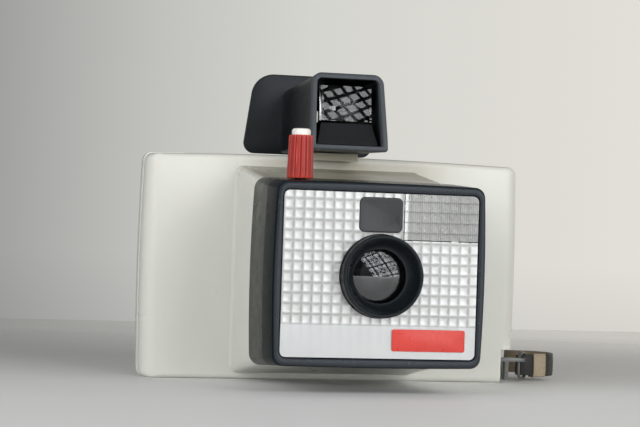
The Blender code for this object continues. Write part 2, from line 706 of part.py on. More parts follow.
def make_screws():
    for k, (x, z) in enumerate(SCREWS):
        profile = [(1.2, -68.0), (1.2, -63.2), (2.4, -63.2), (1.6, -62.2)]
        turned("box_screw_%d" % (k + 1), (x, 0, z), (0, 1, 0), profile, STEEL, n=12)


# ---------------------------------------------------------------- exposure knob

def flute_ring(z, r, depth):
    """A fluted circle: wide rounded ribs with narrow grooves."""
    ring = []
    per = 6
    for i in range(KNOB_FLUTES * per):
        t = 2 * math.pi * i / (KNOB_FLUTES * per)
        groove = max(0.0, math.cos(KNOB_FLUTES * t)) ** 3
        rr = r - depth * groove
        ring.append((KNOB.x + rr * math.cos(t), KNOB.y + rr * math.sin(t), z))
    return ring


def plain_ring(z, r):
    n = KNOB_FLUTES * 6
    return [(KNOB.x + r * math.cos(2 * math.pi * i / n),
             KNOB.y + r * math.sin(2 * math.pi * i / n), z) for i in range(n)]


def make_knob():
    """Fluted red sleeve, hollow shaft with its pinion, plunger and spring."""
    z0 = KNOB.z
    top = z0 + KNOB_H
    bore = 3.9
    rings = [plain_ring(z0, KNOB_R - 0.7), flute_ring(z0 + 0.3, KNOB_R, 0.35),
             flute_ring(top - 0.9, KNOB_TOP_R, 0.35), plain_ring(top, KNOB_TOP_R - 0.35),
             plain_ring(top, bore), plain_ring(z0 + 3.0, bore), plain_ring(z0 + 3.0, 2.5),
             plain_ring(z0, 2.5)]
    knob = stack("exposure_knob", rings, RED, closed=True)
    c = (KNOB.x, KNOB.y, 0)
    shaft = turned("exposure_shaft", c, (0, 0, 1),
                   [(2.2, 61.0), (2.2, z0 + 2.6), (1.5, z0 + 2.6), (1.5, 57.4), (PINION_R - 0.6, 57.4),
                    (PINION_R - 0.6, 61.0)], BLUED, n=20, closed=True)
    teeth = 12
    for k in range(teeth):
        t = 2 * math.pi * k / teeth
        mid = Vector((KNOB.x, KNOB.y)) + Vector((math.cos(t), math.sin(t))) * (PINION_R - 0.5)
        join(shaft, rod("guide_tooth_%d" % k, (mid.x, mid.y, 0), (0, 0, 1), 0.45, 57.8, 60.6, n=6))
    head = [(1.15, 50.0), (1.15, top - 2.4), (3.5, top - 2.4), (3.5, top + 1.6),
            (3.2, top + 2.1), (2.4, top + 2.4)]
    plunger = turned("shutter_plunger", c, (0, 0, 1), head, WHITE, n=28)
    helix("plunger_spring", c, 2.7, 0.35, z0 + 3.2, top - 2.6, 5, STEEL, per_turn=10)
    pivot("exposure_axis", (KNOB.x, KNOB.y, z0), knob, shaft, plunger)


# ---------------------------------------------------------------- finder

def finder_ring(y, inset, n=3):
    """Outline of the finder at a depth: wider at the bottom, its front leaning back at the top."""
    f = (y - FINDER_FRONT_Y) / (FINDER_REAR_Y - FINDER_FRONT_Y)
    w = FINDER_W - 6.5 * f - 2 * inset
    z0 = FINDER_Z0 + 0.7 * f + inset
    z1 = FINDER_Z1 - 2.6 * f - inset
    radii = [max(r - inset, 0.6) for r in (FINDER_TOP_R, FINDER_LOW_R)]
    pts = rounded(CX, (z0 + z1) / 2, w, z1 - z0, radii[0], n, 1, radii[1])
    near = max(0.0, 1 - (y - FINDER_FRONT_Y) / FINDER_LEAN_RUN)
    ring = []
    for x, z in pts:
        up = (z - FINDER_Z0) / (FINDER_Z1 - FINDER_Z0)
        lean = FINDER_LEAN * near * max(0.0, up - 0.12)
        ring.append((CX + (x - CX) * (1 + FINDER_SPREAD * (0.5 - up)), y + lean, z))
    return ring


def make_finder():
    front = FINDER_FRONT_Y
    rear = FINDER_REAR_Y
    step = front + 2.6
    rings = [finder_ring(step + 0.3, 0.0), finder_ring(rear - GAP, 0.0),
             finder_ring(rear - GAP, 1.3), finder_ring(step + 0.3, 1.3)]
    stack("finder_tunnel", rings, BLACK, closed=True)
    rings = [finder_ring(step, 0.0), finder_ring(front + 0.5, 0.0), finder_ring(front, 0.5),
             finder_ring(front, 1.7), finder_ring(front + 0.5, 2.1), finder_ring(step, 2.1)]
    stack("finder_frame", rings, SATIN, closed=True)


def dished_block(name, cx, cz, w, h, y_face, y_back, depth, back_depth, lean, nx, nz, look):
    """A rectangular lens with a round hollow in each face, leaning back at the top."""
    bm = bmesh.new()
    front = []
    back = []
    corner = math.hypot(w / 2, h / 2)
    for j in range(nz + 1):
        row_f = []
        row_b = []
        for i in range(nx + 1):
            x = -w / 2 + w * i / nx
            z = -h / 2 + h * j / nz
            hollow = 1 - (math.hypot(x, z) / corner) ** 2
            row_f.append(bm.verts.new((cx + x, y_face + depth * hollow + lean * z, cz + z)))
            row_b.append(bm.verts.new((cx + x, y_back - back_depth * hollow + lean * z, cz + z)))
        front.append(row_f)
        back.append(row_b)
    for grid in (front, back):
        for j in range(nz):
            for i in range(nx):
                bm.faces.new((grid[j][i], grid[j][i + 1], grid[j + 1][i + 1], grid[j + 1][i]))
    edge_f = front[0] + [r[-1] for r in front[1:]] + front[-1][-2::-1] + [r[0] for r in front[-2:0:-1]]
    edge_b = back[0] + [r[-1] for r in back[1:]] + back[-1][-2::-1] + [r[0] for r in back[-2:0:-1]]
    n = len(edge_f)
    for i in range(n):
        j = (i + 1) % n
        bm.faces.new((edge_f[i], edge_f[j], edge_b[j], edge_b[i]))
    return finish(name, bm, look)


def make_finder_optics():
    rear = GLASS_Y + GLASS_T
    dished_block("finder_front_lens", CX, GLASS_Z, GLASS_W, GLASS_H, GLASS_Y, rear, 0.94, 2.1,
                 GLASS_LEAN, 8, 6, GLASS)
    front = FINDER_FRONT_Y + 3.3
    pts = ((front, HOOD_Z0), (rear, HOOD_Z0), (rear, HOOD_Z1), (GLASS_Y - 0.2, HOOD_Z1),
           (front, HOOD_Z0 + 0.8))
    rings = [[(CX + side * (HOOD_HALF_W - HOOD_TAPER * (z - HOOD_Z0)), y, z) for y, z in pts]
             for side in (-1, 1)]
    stack("meter_hood", rings, MATTE)
    y = FINDER_REAR_Y - 3.4
    pts = rounded(CX, 105.0, 17.0, 19.0, 1.2, 2)
    board = prism_y("eyepiece_board", pts, y, y + 1.4, MATTE)
    cut(board, prism_y("guide_eye_hole", rounded(CX, EYE_GLASS_Z, 6.6, 4.8, 0.6, 2), y - 4, y + 6))
    dished_block("finder_rear_lens", CX, EYE_GLASS_Z, 6.0, 4.2, y + 0.2, y + 1.2, 0.1, 0.1, 0.0, 4, 4, GLASS)


def make_eye_plate():
    """Rear shield of the finder: sloping sides, wide round shoulders, a window for the eye."""
    half = EYE_PLATE_W / 2
    z0, z1 = EYE_PLATE_Z0, EYE_PLATE_Z1
    right = []
    for k in range(5):
        t = math.radians(-90 + 90 * k / 4)
        right.append((half - 4.5 + 4.5 * math.cos(t), z0 + 4.5 + 4.5 * math.sin(t)))
    for k in range(8):
        t = math.radians(10 + 80 * k / 7)
        right.append((half - 12.2 + 9.5 * math.cos(t), z1 - 9.5 + 9.5 * math.sin(t)))
    pts = [(CX + x, z) for x, z in right] + [(CX - x, z) for x, z in reversed(right)]
    y = FINDER_REAR_Y
    obj = prism_y("eye_plate", pts, y, y + 2.0, BLACK)
    cut(obj, prism_y("guide_eye_window", rounded(CX, 107.0, 15.0, 12.0, 2.0, 3), y - 3, y + 5))
    return obj


def make_finder_base():
    """Cream riser under the finder, with a lip over the front of the body."""
    w = 20.0
    x0, x1 = CX - w / 2, CX + w / 2
    zt = FINDER_Z0 - 0.3
    zb = BODY_H + 0.35
    pts = ((FRONT_Y - 6.5, zt), (FINDER_REAR_Y - 1.0, zt), (FINDER_REAR_Y - 1.0, zb),
           (FRONT_Y - 1.0, zb), (FRONT_Y - 1.0, zb - 1.6), (FRONT_Y - 6.5, zb - 2.2))
    rings = [[(x, y, z) for y, z in pts] for x in (x0, x1)]
    stack("finder_base", rings, CREAM)


# ---------------------------------------------------------------- strap

def make_strap_hardware():
    hx, hy = LUG_HOLE
    pts = [(67.5, hy - 2.6)]
    for k in range(9):
        t = math.radians(-90 + 180 * k / 8)
        pts.append((hx + 2.6 * math.cos(t), hy + 2.6 * math.sin(t)))
    pts.append((67.5, hy + 2.6))
    lug = prism_z("strap_lug", pts, 8.5, 10.0, STEEL)
    join(lug, box("guide_lug_leg", (74.2, hy - 2.6, 1.0), (75.9, hy + 2.6, 9.0)))
    cut(lug, rod("guide_lug_hole", (hx, hy, 0), (0, 0, 1), 1.5, 6, 12, n=16))

    swing = math.radians(48)
    along = Vector((math.cos(swing), math.sin(swing), 0))
    centre = Vector((hx, hy, 6.7)) + along * 3.6
    half_w, half_h, r, wire = 3.8, 5.2, 3.0, 0.65
    path = []
    for sx, sz, start in ((1, 1, 0), (-1, 1, 90), (-1, -1, 180), (1, -1, 270)):
        for k in range(5):
            t = math.radians(start + 22.5 * k)
            path.append((sx * (half_w - r) + r * math.cos(t), sz * (half_h - r) + r * math.sin(t)))
    rings = []
    n = len(path)
    up = Vector((0, 0, 1))
    flat = along.cross(up)
    for i in range(n):
        ax, az = path[i - 1]
        bx, bz = path[(i + 1) % n]
        d = (along * (bx - ax) + up * (bz - az)).normalized()
        out = d.cross(flat).normalized()
        p = centre + along * path[i][0] + up * path[i][1]
        rings.append([p + (out * math.cos(a) + flat * math.sin(a)) * wire
                      for a in (2 * math.pi * k / 8 for k in range(8))])
    ring = stack("strap_ring", rings, STEEL, closed=True)
    pivot("strap_ring_axis", (hx, hy, 9.2), ring)


# The strap stands on its edge; (x, y, z of its middle), from the ring to its return.
STRAP_ROUTE = ((88.0, -8.2, 6.6), (92.4, -6.6, 6.6), (97.4, -4.2, 6.7), (101.2, 0.6, 6.8),
               (100.8, 6.6, 6.9), (96.6, 12.8, 6.9), (91.0, 18.4, 6.7), (87.8, 25.0, 6.4),
               (87.4, 32.0, 6.2), (87.2, 40.0, 5.9), (87.4, 48.0, 5.7), (88.2, 60.0, 5.6),
               (89.6, 72.0, 5.6), (89.8, 83.0, 5.6), (87.0, 91.4, 5.6), (81.6, 94.0, 5.6),
               (77.2, 90.0, 5.6), (76.0, 80.0, 5.6), (77.0, 66.0, 5.6), (79.4, 52.0, 5.6),
               (82.4, 40.0, 5.9), (83.6, 33.0, 6.2), (83.8, 25.0, 6.4))


def smooth_route(points, step):
    """Catmull-Rom curve through the route, resampled at an even step."""
    pts = [Vector(p) for p in points]
    pts = [2 * pts[0] - pts[1]] + pts + [2 * pts[-1] - pts[-2]]
    dense = []
    for i in range(1, len(pts) - 2):
        p0, p1, p2, p3 = pts[i - 1:i + 3]
        for k in range(24):
            t = k / 24
            dense.append(0.5 * (2 * p1 + (p2 - p0) * t + (2 * p0 - 5 * p1 + 4 * p2 - p3) * t * t
                                + (3 * p1 - p0 - 3 * p2 + p3) * t ** 3))
    dense.append(pts[-2])
    length = sum((b - a).length for a, b in zip(dense, dense[1:]))
    count = round(length / step)
    out = [dense[0]]
    walked = 0.0
    goal = length / count
    for a, b in zip(dense, dense[1:]):
        run = (b - a).length
        while walked + run >= goal - 1e-6 and len(out) < count:
            out.append(a + (b - a) * ((goal - walked) / run))
            goal += length / count
        walked += run
    out.append(dense[-1])
    return out


def make_strap():
    """Flat wrist strap as a standing ribbon, and the sliding keeper that closes its loop."""
    line = smooth_route(STRAP_ROUTE, 5.0)
    rings = []
    for i, p in enumerate(line):
        a = line[max(i - 1, 0)]
        b = line[min(i + 1, len(line) - 1)]
        side = Vector((b.y - a.y, a.x - b.x, 0)).normalized() * (STRAP_T / 2)
        up = Vector((0, 0, STRAP_W / 2))
        rings.append([p + side - up, p + side + up, p - side + up, p - side - up])
    stack("wrist_strap", rings, LEATHER, smooth=60)
    x, y, z, wall = 85.6, 29.2, 6.4, 0.9
    half = Vector((3.9, 2.6, 5.9))
    keeper = box("strap_keeper", (x - half.x, y - half.y, z - half.z),
                 (x + half.x, y + half.y, z + half.z), LEATHER)
    cut(keeper, box("guide_keeper_slot", (x - half.x + wall, y - 9, z - half.z + wall),
                    (x + half.x - wall, y + 9, z + half.z - wall)))


def clear_scene():
    for obj in list(bpy.data.objects):
        bpy.data.objects.remove(obj, do_unlink=True)


def main():
    clear_scene()
    make_front_housing()
    make_back_door()
    make_film_chamber()
    make_rollers()
    make_film_rolls()
    make_batteries()
    make_back_pieces()
    make_front_box()
    make_face_plate()
    make_label_plate()
    make_windows()
    make_flash()
    make_barrel()
    make_lens()
    make_shutter()
    make_meter()
    make_screws()
    make_knob()
    make_finder()
    make_finder_optics()
    make_eye_plate()
    make_finder_base()
    make_strap_hardware()
    make_strap()


main()
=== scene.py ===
"""Looks of the instant camera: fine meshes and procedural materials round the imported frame.

Frame: metres, +Z up, the lens looks along -Y, +X is the viewer's right.
Shape arguments are millimetres; MM turns them into metres.
"""

import math

import bmesh
import bpy
from mathutils import Matrix, Vector


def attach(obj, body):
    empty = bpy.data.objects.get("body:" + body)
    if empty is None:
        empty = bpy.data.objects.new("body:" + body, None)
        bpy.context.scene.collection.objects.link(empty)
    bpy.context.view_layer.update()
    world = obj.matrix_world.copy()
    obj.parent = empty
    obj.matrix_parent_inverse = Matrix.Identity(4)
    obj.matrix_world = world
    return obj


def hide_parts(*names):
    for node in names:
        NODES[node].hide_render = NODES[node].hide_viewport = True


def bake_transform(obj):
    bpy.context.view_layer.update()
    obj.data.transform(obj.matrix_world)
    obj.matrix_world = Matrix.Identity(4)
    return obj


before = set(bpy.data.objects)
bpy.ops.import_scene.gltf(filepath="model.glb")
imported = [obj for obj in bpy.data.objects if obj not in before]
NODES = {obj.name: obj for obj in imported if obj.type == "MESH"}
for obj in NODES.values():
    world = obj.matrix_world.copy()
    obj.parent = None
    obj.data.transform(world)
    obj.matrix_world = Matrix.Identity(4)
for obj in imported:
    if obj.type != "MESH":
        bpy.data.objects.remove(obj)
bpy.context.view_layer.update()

MM = 0.001
GAP = 0.35
UP = Vector((0, 0, 1))

# Body
BODY_W = 156.0
BODY_H = 89.6
WALL = 2.0
FRONT_Y = -19.0
REAR_Y = 19.0
MID_Z = BODY_H / 2
CORNER_R = 3.0
END_BOW = 0.8
TOP_BOW = 1.3
FRONT_END_R = 6.5
FRONT_EDGE_R = 2.2
REAR_END_R = 17.0
REAR_END_D = 30.0
DOOR_PROUD = 1.0035
REAR_EDGE_R = 4.5
SEAM_Y = -11.0
WRAP_X = -61.0
DOOR_Y = 12.0

# Lens box on its pedestal
CX = -3.7
BOX_Z = 43.9
PED_FRONT_Y = -65.6
PED_WALL = 1.6
PED_W = 75.2
BOX_REAR_W = 81.6
BOX_REAR_H = 70.2
BOX_W = 78.2
BOX_H = 66.4
BOX_FRONT_Y = -99.0
BOX_WALL = 1.8
BOX_BOW_X = 0.9
BOX_BOW_Z = 0.4
PLATE_W = 73.6
PLATE_H = 60.1
PLATE_Y = -98.4
LIP_Y = -96.7
LENS = Vector((-3.8, 0.0, 43.7))
BARREL_R = 15.1
BARREL_Y = -103.4
FLANGE_Y = -95.1
TAIL_Y = -87.6
LENS_R = 10.1
LENS_Y = -97.0
GRID_X0 = -40.31
GRID_Z0 = 25.82
CELL = 3.706
CELL_H = 3.78
CELLS_X = 19
CELLS_Z = 13
DIMPLE = 0.25
STRIP_TOP = 25.8
PAINTED_BAND_Y = -84.5
METER_WIN = (-12.4, 4.0, 59.6, 72.4)
FLASH_X0 = 4.5
FLASH_Z0 = 56.9
LABEL_X = 15.1
LABEL_Z = 20.6
LABEL_W = 27.8
LABEL_H = 8.0

# Knob, finder, hinge, rollers, strap hardware
KNOB = Vector((-31.3, -83.0, 78.5))
KNOB_R = 4.95
KNOB_TOP_R = 4.5
KNOB_H = 16.0
KNOB_FLUTES = 14
FINDER_FRONT_Y = FRONT_Y - 30.6
FINDER_REAR_Y = REAR_Y - 2.0
FINDER_Z0 = 91.0
FINDER_Z1 = 121.3
FINDER_W = 30.0
FINDER_TOP_R = 4.0
FINDER_LOW_R = 1.3
FINDER_LEAN = 6.2
FINDER_LEAN_RUN = 20.0
FINDER_SPREAD = 0.09
GLASS_LEAN = 0.15
GLASS_W = 20.0
GLASS_H = 13.8
GLASS_Z = 109.6
GLASS_BACK = 6.4
GLASS_T = 4.4
EYE_GLASS_Z = 107.4
EYE_PLATE_W = 55.0
EYE_PLATE_Z0 = 91.2
EYE_PLATE_Z1 = 124.4
HINGE = (66.0, 15.4)
KNUCKLE_R = 2.4
HINGE_PIN_R = 0.8
FRONT_KNUCKLES = ((9.0, 19.5), (68.5, 80.0))
DOOR_KNUCKLE = (20.0, 68.0)
ROLLER_Y = 1.5
SCREWS = ((-33.0, 14.6), (25.4, 14.6), (-33.0, 73.4), (25.4, 73.4))
LUG_HOLE = (81.2, -14.0)
STRAP_W = 9.4
STRAP_T = 1.3
STRAP_STEP = 1.6
KEEPER_AT = (85.6, 29.2, 6.4)
KEEPER_W = 7.8
KEEPER_H = 11.8
KEEPER_WALL = 0.9
RING_Z = 6.7
RING_SWING = 48.0
RING_W = 7.6
RING_H = 10.4
RING_WIRE_R = 0.65
LUG_R = 2.6


# ---------------------------------------------------------------- camera

VIEW_AT = (-0.2106, -0.81481, 0.0571)
VIEW_TURN = (-14.36, -0.67, 1.87)
VIEW_LENS = 115.3575
SENSOR = 36.0


def make_camera():
    """The photograph's viewpoint, turned by yaw, pitch and roll in degrees."""
    yaw, pitch, roll = (math.radians(a) for a in VIEW_TURN)
    ahead = Vector((-math.sin(yaw) * math.cos(pitch), math.cos(yaw) * math.cos(pitch),
                    -math.sin(pitch)))
    right = ahead.cross(UP).normalized()
    up = right.cross(ahead)
    side = right * math.cos(roll) + up * math.sin(roll)
    top = up * math.cos(roll) - right * math.sin(roll)
    data = bpy.data.cameras.new("view")
    data.sensor_width = SENSOR
    data.lens = VIEW_LENS
    data.clip_start = 0.01
    cam = bpy.data.objects.new("view", data)
    bpy.context.collection.objects.link(cam)
    turn = Matrix((side, top, -ahead)).transposed().to_4x4()
    cam.matrix_world = Matrix.Translation(VIEW_AT) @ turn
    bpy.context.scene.camera = cam


make_camera()


# ---------------------------------------------------------------- materials

class Tree:
    """The node tree of a material or the world, with short calls for what the looks repeat."""

    def __init__(self, owner, space="Object"):
        owner.use_nodes = True
        self.owner = owner
        self.nt = owner.node_tree
        self.shader = self.nt.nodes.get("Principled BSDF")
        self.coord = self.node("ShaderNodeTexCoord").outputs[space]

    def node(self, kind, **values):
        made = self.nt.nodes.new(kind)
        for key, value in values.items():
            setattr(made, key, value)
        return made

    def link(self, a, b):
        self.nt.links.new(a, b)

    def feed(self, value, socket):
        """Gives a socket a number, a colour or another node's output."""
        if isinstance(value, (int, float)):
            socket.default_value = value
        elif isinstance(value, tuple):
            socket.default_value = (*value, 1.0)
        else:
            self.link(value, socket)

    def paint(self, color):
        self.link(color, self.shader.inputs["Base Color"])

    def painted(self):
        """What feeds the colour so far, to lay more over it."""
        return self.shader.inputs["Base Color"].links[0].from_socket

    def roughen(self, value):
        self.link(value, self.shader.inputs["Roughness"])

    def axes(self, vector=None):
        """The parts of a vector by axis, or of the coordinates if none is given."""
        split = self.node("ShaderNodeSeparateXYZ")
        self.link(vector or self.coord, split.inputs[0])
        return split.outputs

    def stretched(self, scale):
        """Object coordinates scaled differently along each axis."""
        node = self.node("ShaderNodeMapping")
        node.inputs["Scale"].default_value = scale
        self.link(self.coord, node.inputs["Vector"])
        return node.outputs["Vector"]

    def noise(self, scale, detail=5.0, rough=0.55, coord=None, distort=0.0):
        node = self.node("ShaderNodeTexNoise")
        node.inputs["Scale"].default_value = scale
        node.inputs["Detail"].default_value = detail
        node.inputs["Roughness"].default_value = rough
        node.inputs["Distortion"].default_value = distort
        self.link(coord or self.coord, node.inputs["Vector"])
        return node.outputs["Fac"]

    def spots(self, scale, size):
        """Scattered round specks: 1 inside a speck, 0 outside."""
        node = self.node("ShaderNodeTexVoronoi")
        node.inputs["Scale"].default_value = scale
        self.link(self.coord, node.inputs["Vector"])
        return self.span(node.outputs["Distance"], size, size * 0.6, 0.0, 1.0)

    def span(self, value, a, b, to_a, to_b):
        node = self.node("ShaderNodeMapRange")
        for key, number in (("From Min", a), ("From Max", b), ("To Min", to_a), ("To Max", to_b)):
            node.inputs[key].default_value = number
        self.link(value, node.inputs["Value"])
        return node.outputs["Result"]

    def math(self, operation, a, b):
        node = self.node("ShaderNodeMath", operation=operation)
        self.feed(a, node.inputs[0])
        self.feed(b, node.inputs[1])
        return node.outputs[0]

    def ramp(self, value, *stops):
        node = self.node("ShaderNodeValToRGB")
        ramp = node.color_ramp
        while len(ramp.elements) < len(stops):
            ramp.elements.new(0.5)
        for element, (at, color) in zip(ramp.elements, stops):
            element.position = at
            element.color = (*color, 1.0)
        self.link(value, node.inputs["Fac"])
        return node.outputs["Color"]

    def mix(self, value, a, b, blend="MIX"):
        node = self.node("ShaderNodeMix", data_type="RGBA", blend_type=blend)
        self.feed(value, node.inputs["Factor"])
        self.feed(a, node.inputs[6])
        self.feed(b, node.inputs[7])
        return node.outputs[2]

    def bump(self, *layers):
        """Heights laid over each other: (height, depth in metres, strength)."""
        last = None
        for height, depth, strength in layers:
            node = self.node("ShaderNodeBump")
            node.inputs["Distance"].default_value = depth
            node.inputs["Strength"].default_value = strength
            self.link(height, node.inputs["Height"])
            if last:
                self.link(last, node.inputs["Normal"])
            last = node.outputs["Normal"]
        self.link(last, self.shader.inputs["Normal"])

    def set(self, **values):
        for key, value in values.items():
            self.shader.inputs[key.replace("_", " ")].default_value = value

    def facing_up(self, low, high):
        """Where the surface faces up: where dust settles and where the tops get painted shade."""
        normal = self.axes(self.node("ShaderNodeNewGeometry").outputs["Normal"])
        return self.span(normal["Z"], low, high, 0.0, 1.0)

    def grooves(self, value, start, pitch, width):
        """Narrow lines at an even pitch: 1 on a line, 0 between lines; lengths in millimetres."""
        place = self.math("DIVIDE", self.math("SUBTRACT", value, start * MM), pitch * MM)
        off = self.math("ABSOLUTE", self.math("SUBTRACT", self.math("FRACT", place, 0.0), 0.5), 0.0)
        return self.span(off, 0.5 - width / pitch, 0.5, 0.0, 1.0)

    def edges(self):
        """Where the surface bends outwards sharply, as on a worn edge."""
        node = self.node("ShaderNodeNewGeometry")
        return self.span(node.outputs["Pointiness"], 0.51, 0.56, 0.0, 1.0)


def new_tree(name):
    return Tree(bpy.data.materials.new(name))


def shade(color, factor):
    return tuple(min(1.0, c * factor) for c in color)


def surface(name, color, rough, vary=0.06, patch=22.0, rough_vary=0.06, grain=1400.0, grain_depth=2e-5,
            scratch=0.0, dust=None, worn=None, settled_dust_and_shade=None, **shader):
    """Moulded or metal surface: patchy colour and roughness, fine grain, hairline scratches, dust, and on
    up-facing faces a brown film that is partly dust and partly painted shade.
    """
    t = new_tree(name)
    patches = t.noise(patch, 6.0, 0.6)
    color_out = t.ramp(patches, (0.32, shade(color, 1 - vary)), (0.68, shade(color, 1 + vary)))
    if worn:
        color_out = t.mix(t.edges(), color_out, worn)
    if dust:
        specks = t.math("MULTIPLY", t.spots(260.0, 0.09), t.span(t.noise(70.0), 0.5, 0.62, 0.0, 0.55))
        color_out = t.mix(specks, color_out, dust)
    # Up-facing faces take a brown film: settled dust and painted shade of the tops.
    if settled_dust_and_shade:
        film = t.span(t.noise(60.0), 0.25, 0.6, 0.35, 0.75)
        color_out = t.mix(t.math("MULTIPLY", t.facing_up(0.8, 0.97), film), color_out, settled_dust_and_shade)
    t.paint(color_out)
    t.roughen(t.span(t.noise(patch * 6, 7.0, 0.65), 0.3, 0.7, rough - rough_vary, rough + rough_vary))
    layers = [(t.noise(grain, 2.0), grain_depth, 0.35)]
    if scratch:
        hairlines = t.noise(900.0, 1.0, 0.5, t.stretched((0.03, 1.0, 1.0)), 0.4)
        layers.append((t.span(hairlines, 0.66, 0.7, 0.0, 1.0), 4e-5, scratch))
    t.bump(*layers)
    t.set(**shader)
    return t.owner


# The cream's tops carry a brown film that is dust and painted shade.
CREAM = surface("cream_moulding", (0.56, 0.565, 0.525), 0.33, vary=0.035, patch=9.0, rough_vary=0.07,
                grain=700.0, grain_depth=3e-5, scratch=0.12, dust=(0.42, 0.40, 0.35),
                worn=(0.66, 0.66, 0.62), settled_dust_and_shade=(0.27, 0.25, 0.19), Subsurface_Weight=0.06,
                Subsurface_Scale=0.002)


def grime_and_finder_shadow(mat):
    """Brown film on the body's front under the finder, partly dirt and partly painted shadow of the finder,
    fading out on all four sides.
    """
    t = Tree(mat)
    axes = t.axes()
    film = t.span(t.noise(55.0, 5.0), 0.3, 0.65, 0.35, 0.75)
    for axis, clean, dirty in (("Z", 79.5, 83.5), ("Z", 88.5, 86.8), ("X", -50.0, -20.0), ("X", 60.0, 10.0)):
        film = t.math("MULTIPLY", film, t.span(axes[axis], clean * MM, dirty * MM, 0.0, 1.0))
    # Painted shadow and dirt: the finder's shade and grime as one brown tint.
    t.paint(t.mix(film, t.painted(), (0.28, 0.245, 0.165)))


grime_and_finder_shadow(CREAM)
# Darker, browner copy of the cream for the finder's base: painted shade under the finder's overhang.
SHADED_CREAM = surface("shaded_cream_moulding", (0.36, 0.34, 0.26), 0.42, vary=0.12, patch=60.0,
                   grain=700.0, grain_depth=3e-5, settled_dust_and_shade=(0.2, 0.18, 0.13))


def painted_reflection_zones(mat):
    """The lens box's colours from back to front: a lighter grey side and a darker black band, painted
    reflections of the room, then the blue-grey face.
    """
    t = Tree(mat)
    depth = t.axes()["Y"]
    side = t.span(depth, (PAINTED_BAND_Y - 0.3) * MM, (PAINTED_BAND_Y + 0.3) * MM, 0.0, 1.0)
    face = t.span(depth, PLATE_Y * MM, (PLATE_Y - 0.4) * MM, 0.0, 1.0)
    # Painted reflection: the rear of the side is lighter grey and the band in front of it darker.
    t.paint(t.mix(face, t.mix(side, t.painted(), (0.011, 0.012, 0.0115)), (0.018, 0.023, 0.030)))
    t.link(t.math("ADD", t.math("MULTIPLY", side, 0.05), t.span(face, 0.0, 1.0, 0.015, 0.46)),
           t.shader.inputs["Specular IOR Level"])
    return mat


GLOSSY = {"patch": 30.0, "grain": 1800.0, "grain_depth": 1.5e-5}
BLACK = surface("black_gloss_moulding", (0.008, 0.012, 0.015), 0.2, vary=0.3, scratch=0.15,
                dust=(0.1, 0.1, 0.1), worn=(0.03, 0.034, 0.038), Specular_IOR_Level=0.35, **GLOSSY)
BOX_BLACK = painted_reflection_zones(surface("lens_box_moulding", (0.006, 0.009, 0.011), 0.24, vary=0.3, scratch=0.15,
                          dust=(0.08, 0.08, 0.08), worn=(0.02, 0.024, 0.028), **GLOSSY))
HOOD = surface("lens_hood_moulding", (0.006, 0.008, 0.010), 0.3, vary=0.25, dust=(0.06, 0.06, 0.06),
               worn=(0.016, 0.019, 0.022), Specular_IOR_Level=0.22, **GLOSSY)
MATTE = surface("matte_black_moulding", (0.008, 0.009, 0.01), 0.62, vary=0.25, grain=2600.0,
                grain_depth=4e-5, Specular_IOR_Level=0.3)
SATIN = surface("satin_blue_grey_moulding", (0.034, 0.040, 0.049), 0.42, vary=0.12, patch=35.0,
                grain=2200.0, grain_depth=3e-5, dust=(0.14, 0.14, 0.14), worn=(0.06, 0.066, 0.075))
TUNNEL = surface("dark_satin_moulding", (0.007, 0.009, 0.011), 0.36, vary=0.25, patch=30.0,
                 grain=2000.0, grain_depth=3e-5, dust=(0.06, 0.06, 0.06), worn=(0.02, 0.022, 0.025),
                 Specular_IOR_Level=0.3)
RED = surface("red_fluted_moulding", (0.26, 0.021, 0.017), 0.36, vary=0.14, patch=120.0, grain=1500.0,
              grain_depth=2e-5, dust=(0.2, 0.08, 0.06), worn=(0.5, 0.07, 0.05))
WHITE = surface("white_moulding", (0.72, 0.70, 0.66), 0.4, vary=0.05, patch=80.0, grain=1500.0)
OLD_STEEL = surface("dulled_steel", (0.27, 0.27, 0.26), 0.42, vary=0.2, patch=150.0, rough_vary=0.1,
                    grain=2400.0, grain_depth=3e-5, scratch=0.3, Metallic=1.0)
STEEL = surface("bright_steel", (0.56, 0.56, 0.55), 0.28, vary=0.12, patch=110.0, rough_vary=0.1,
                grain=2400.0, grain_depth=2e-5, scratch=0.3, Metallic=1.0)
BRASS = surface("spring_brass", (0.62, 0.44, 0.18), 0.32, vary=0.15, patch=120.0, Metallic=1.0)
BLUED = surface("blackened_steel", (0.045, 0.045, 0.05), 0.42, vary=0.25, patch=90.0, scratch=0.2,
                Metallic=1.0)
PAPER = surface("backing_paper", (0.33, 0.28, 0.2), 0.8, vary=0.12, patch=60.0, grain=1300.0,
                grain_depth=8e-5)
LABEL = surface("red_label_enamel", (0.5, 0.045, 0.035), 0.3, vary=0.07, patch=60.0, grain=1500.0,
                grain_depth=1e-5, dust=(0.3, 0.12, 0.1))


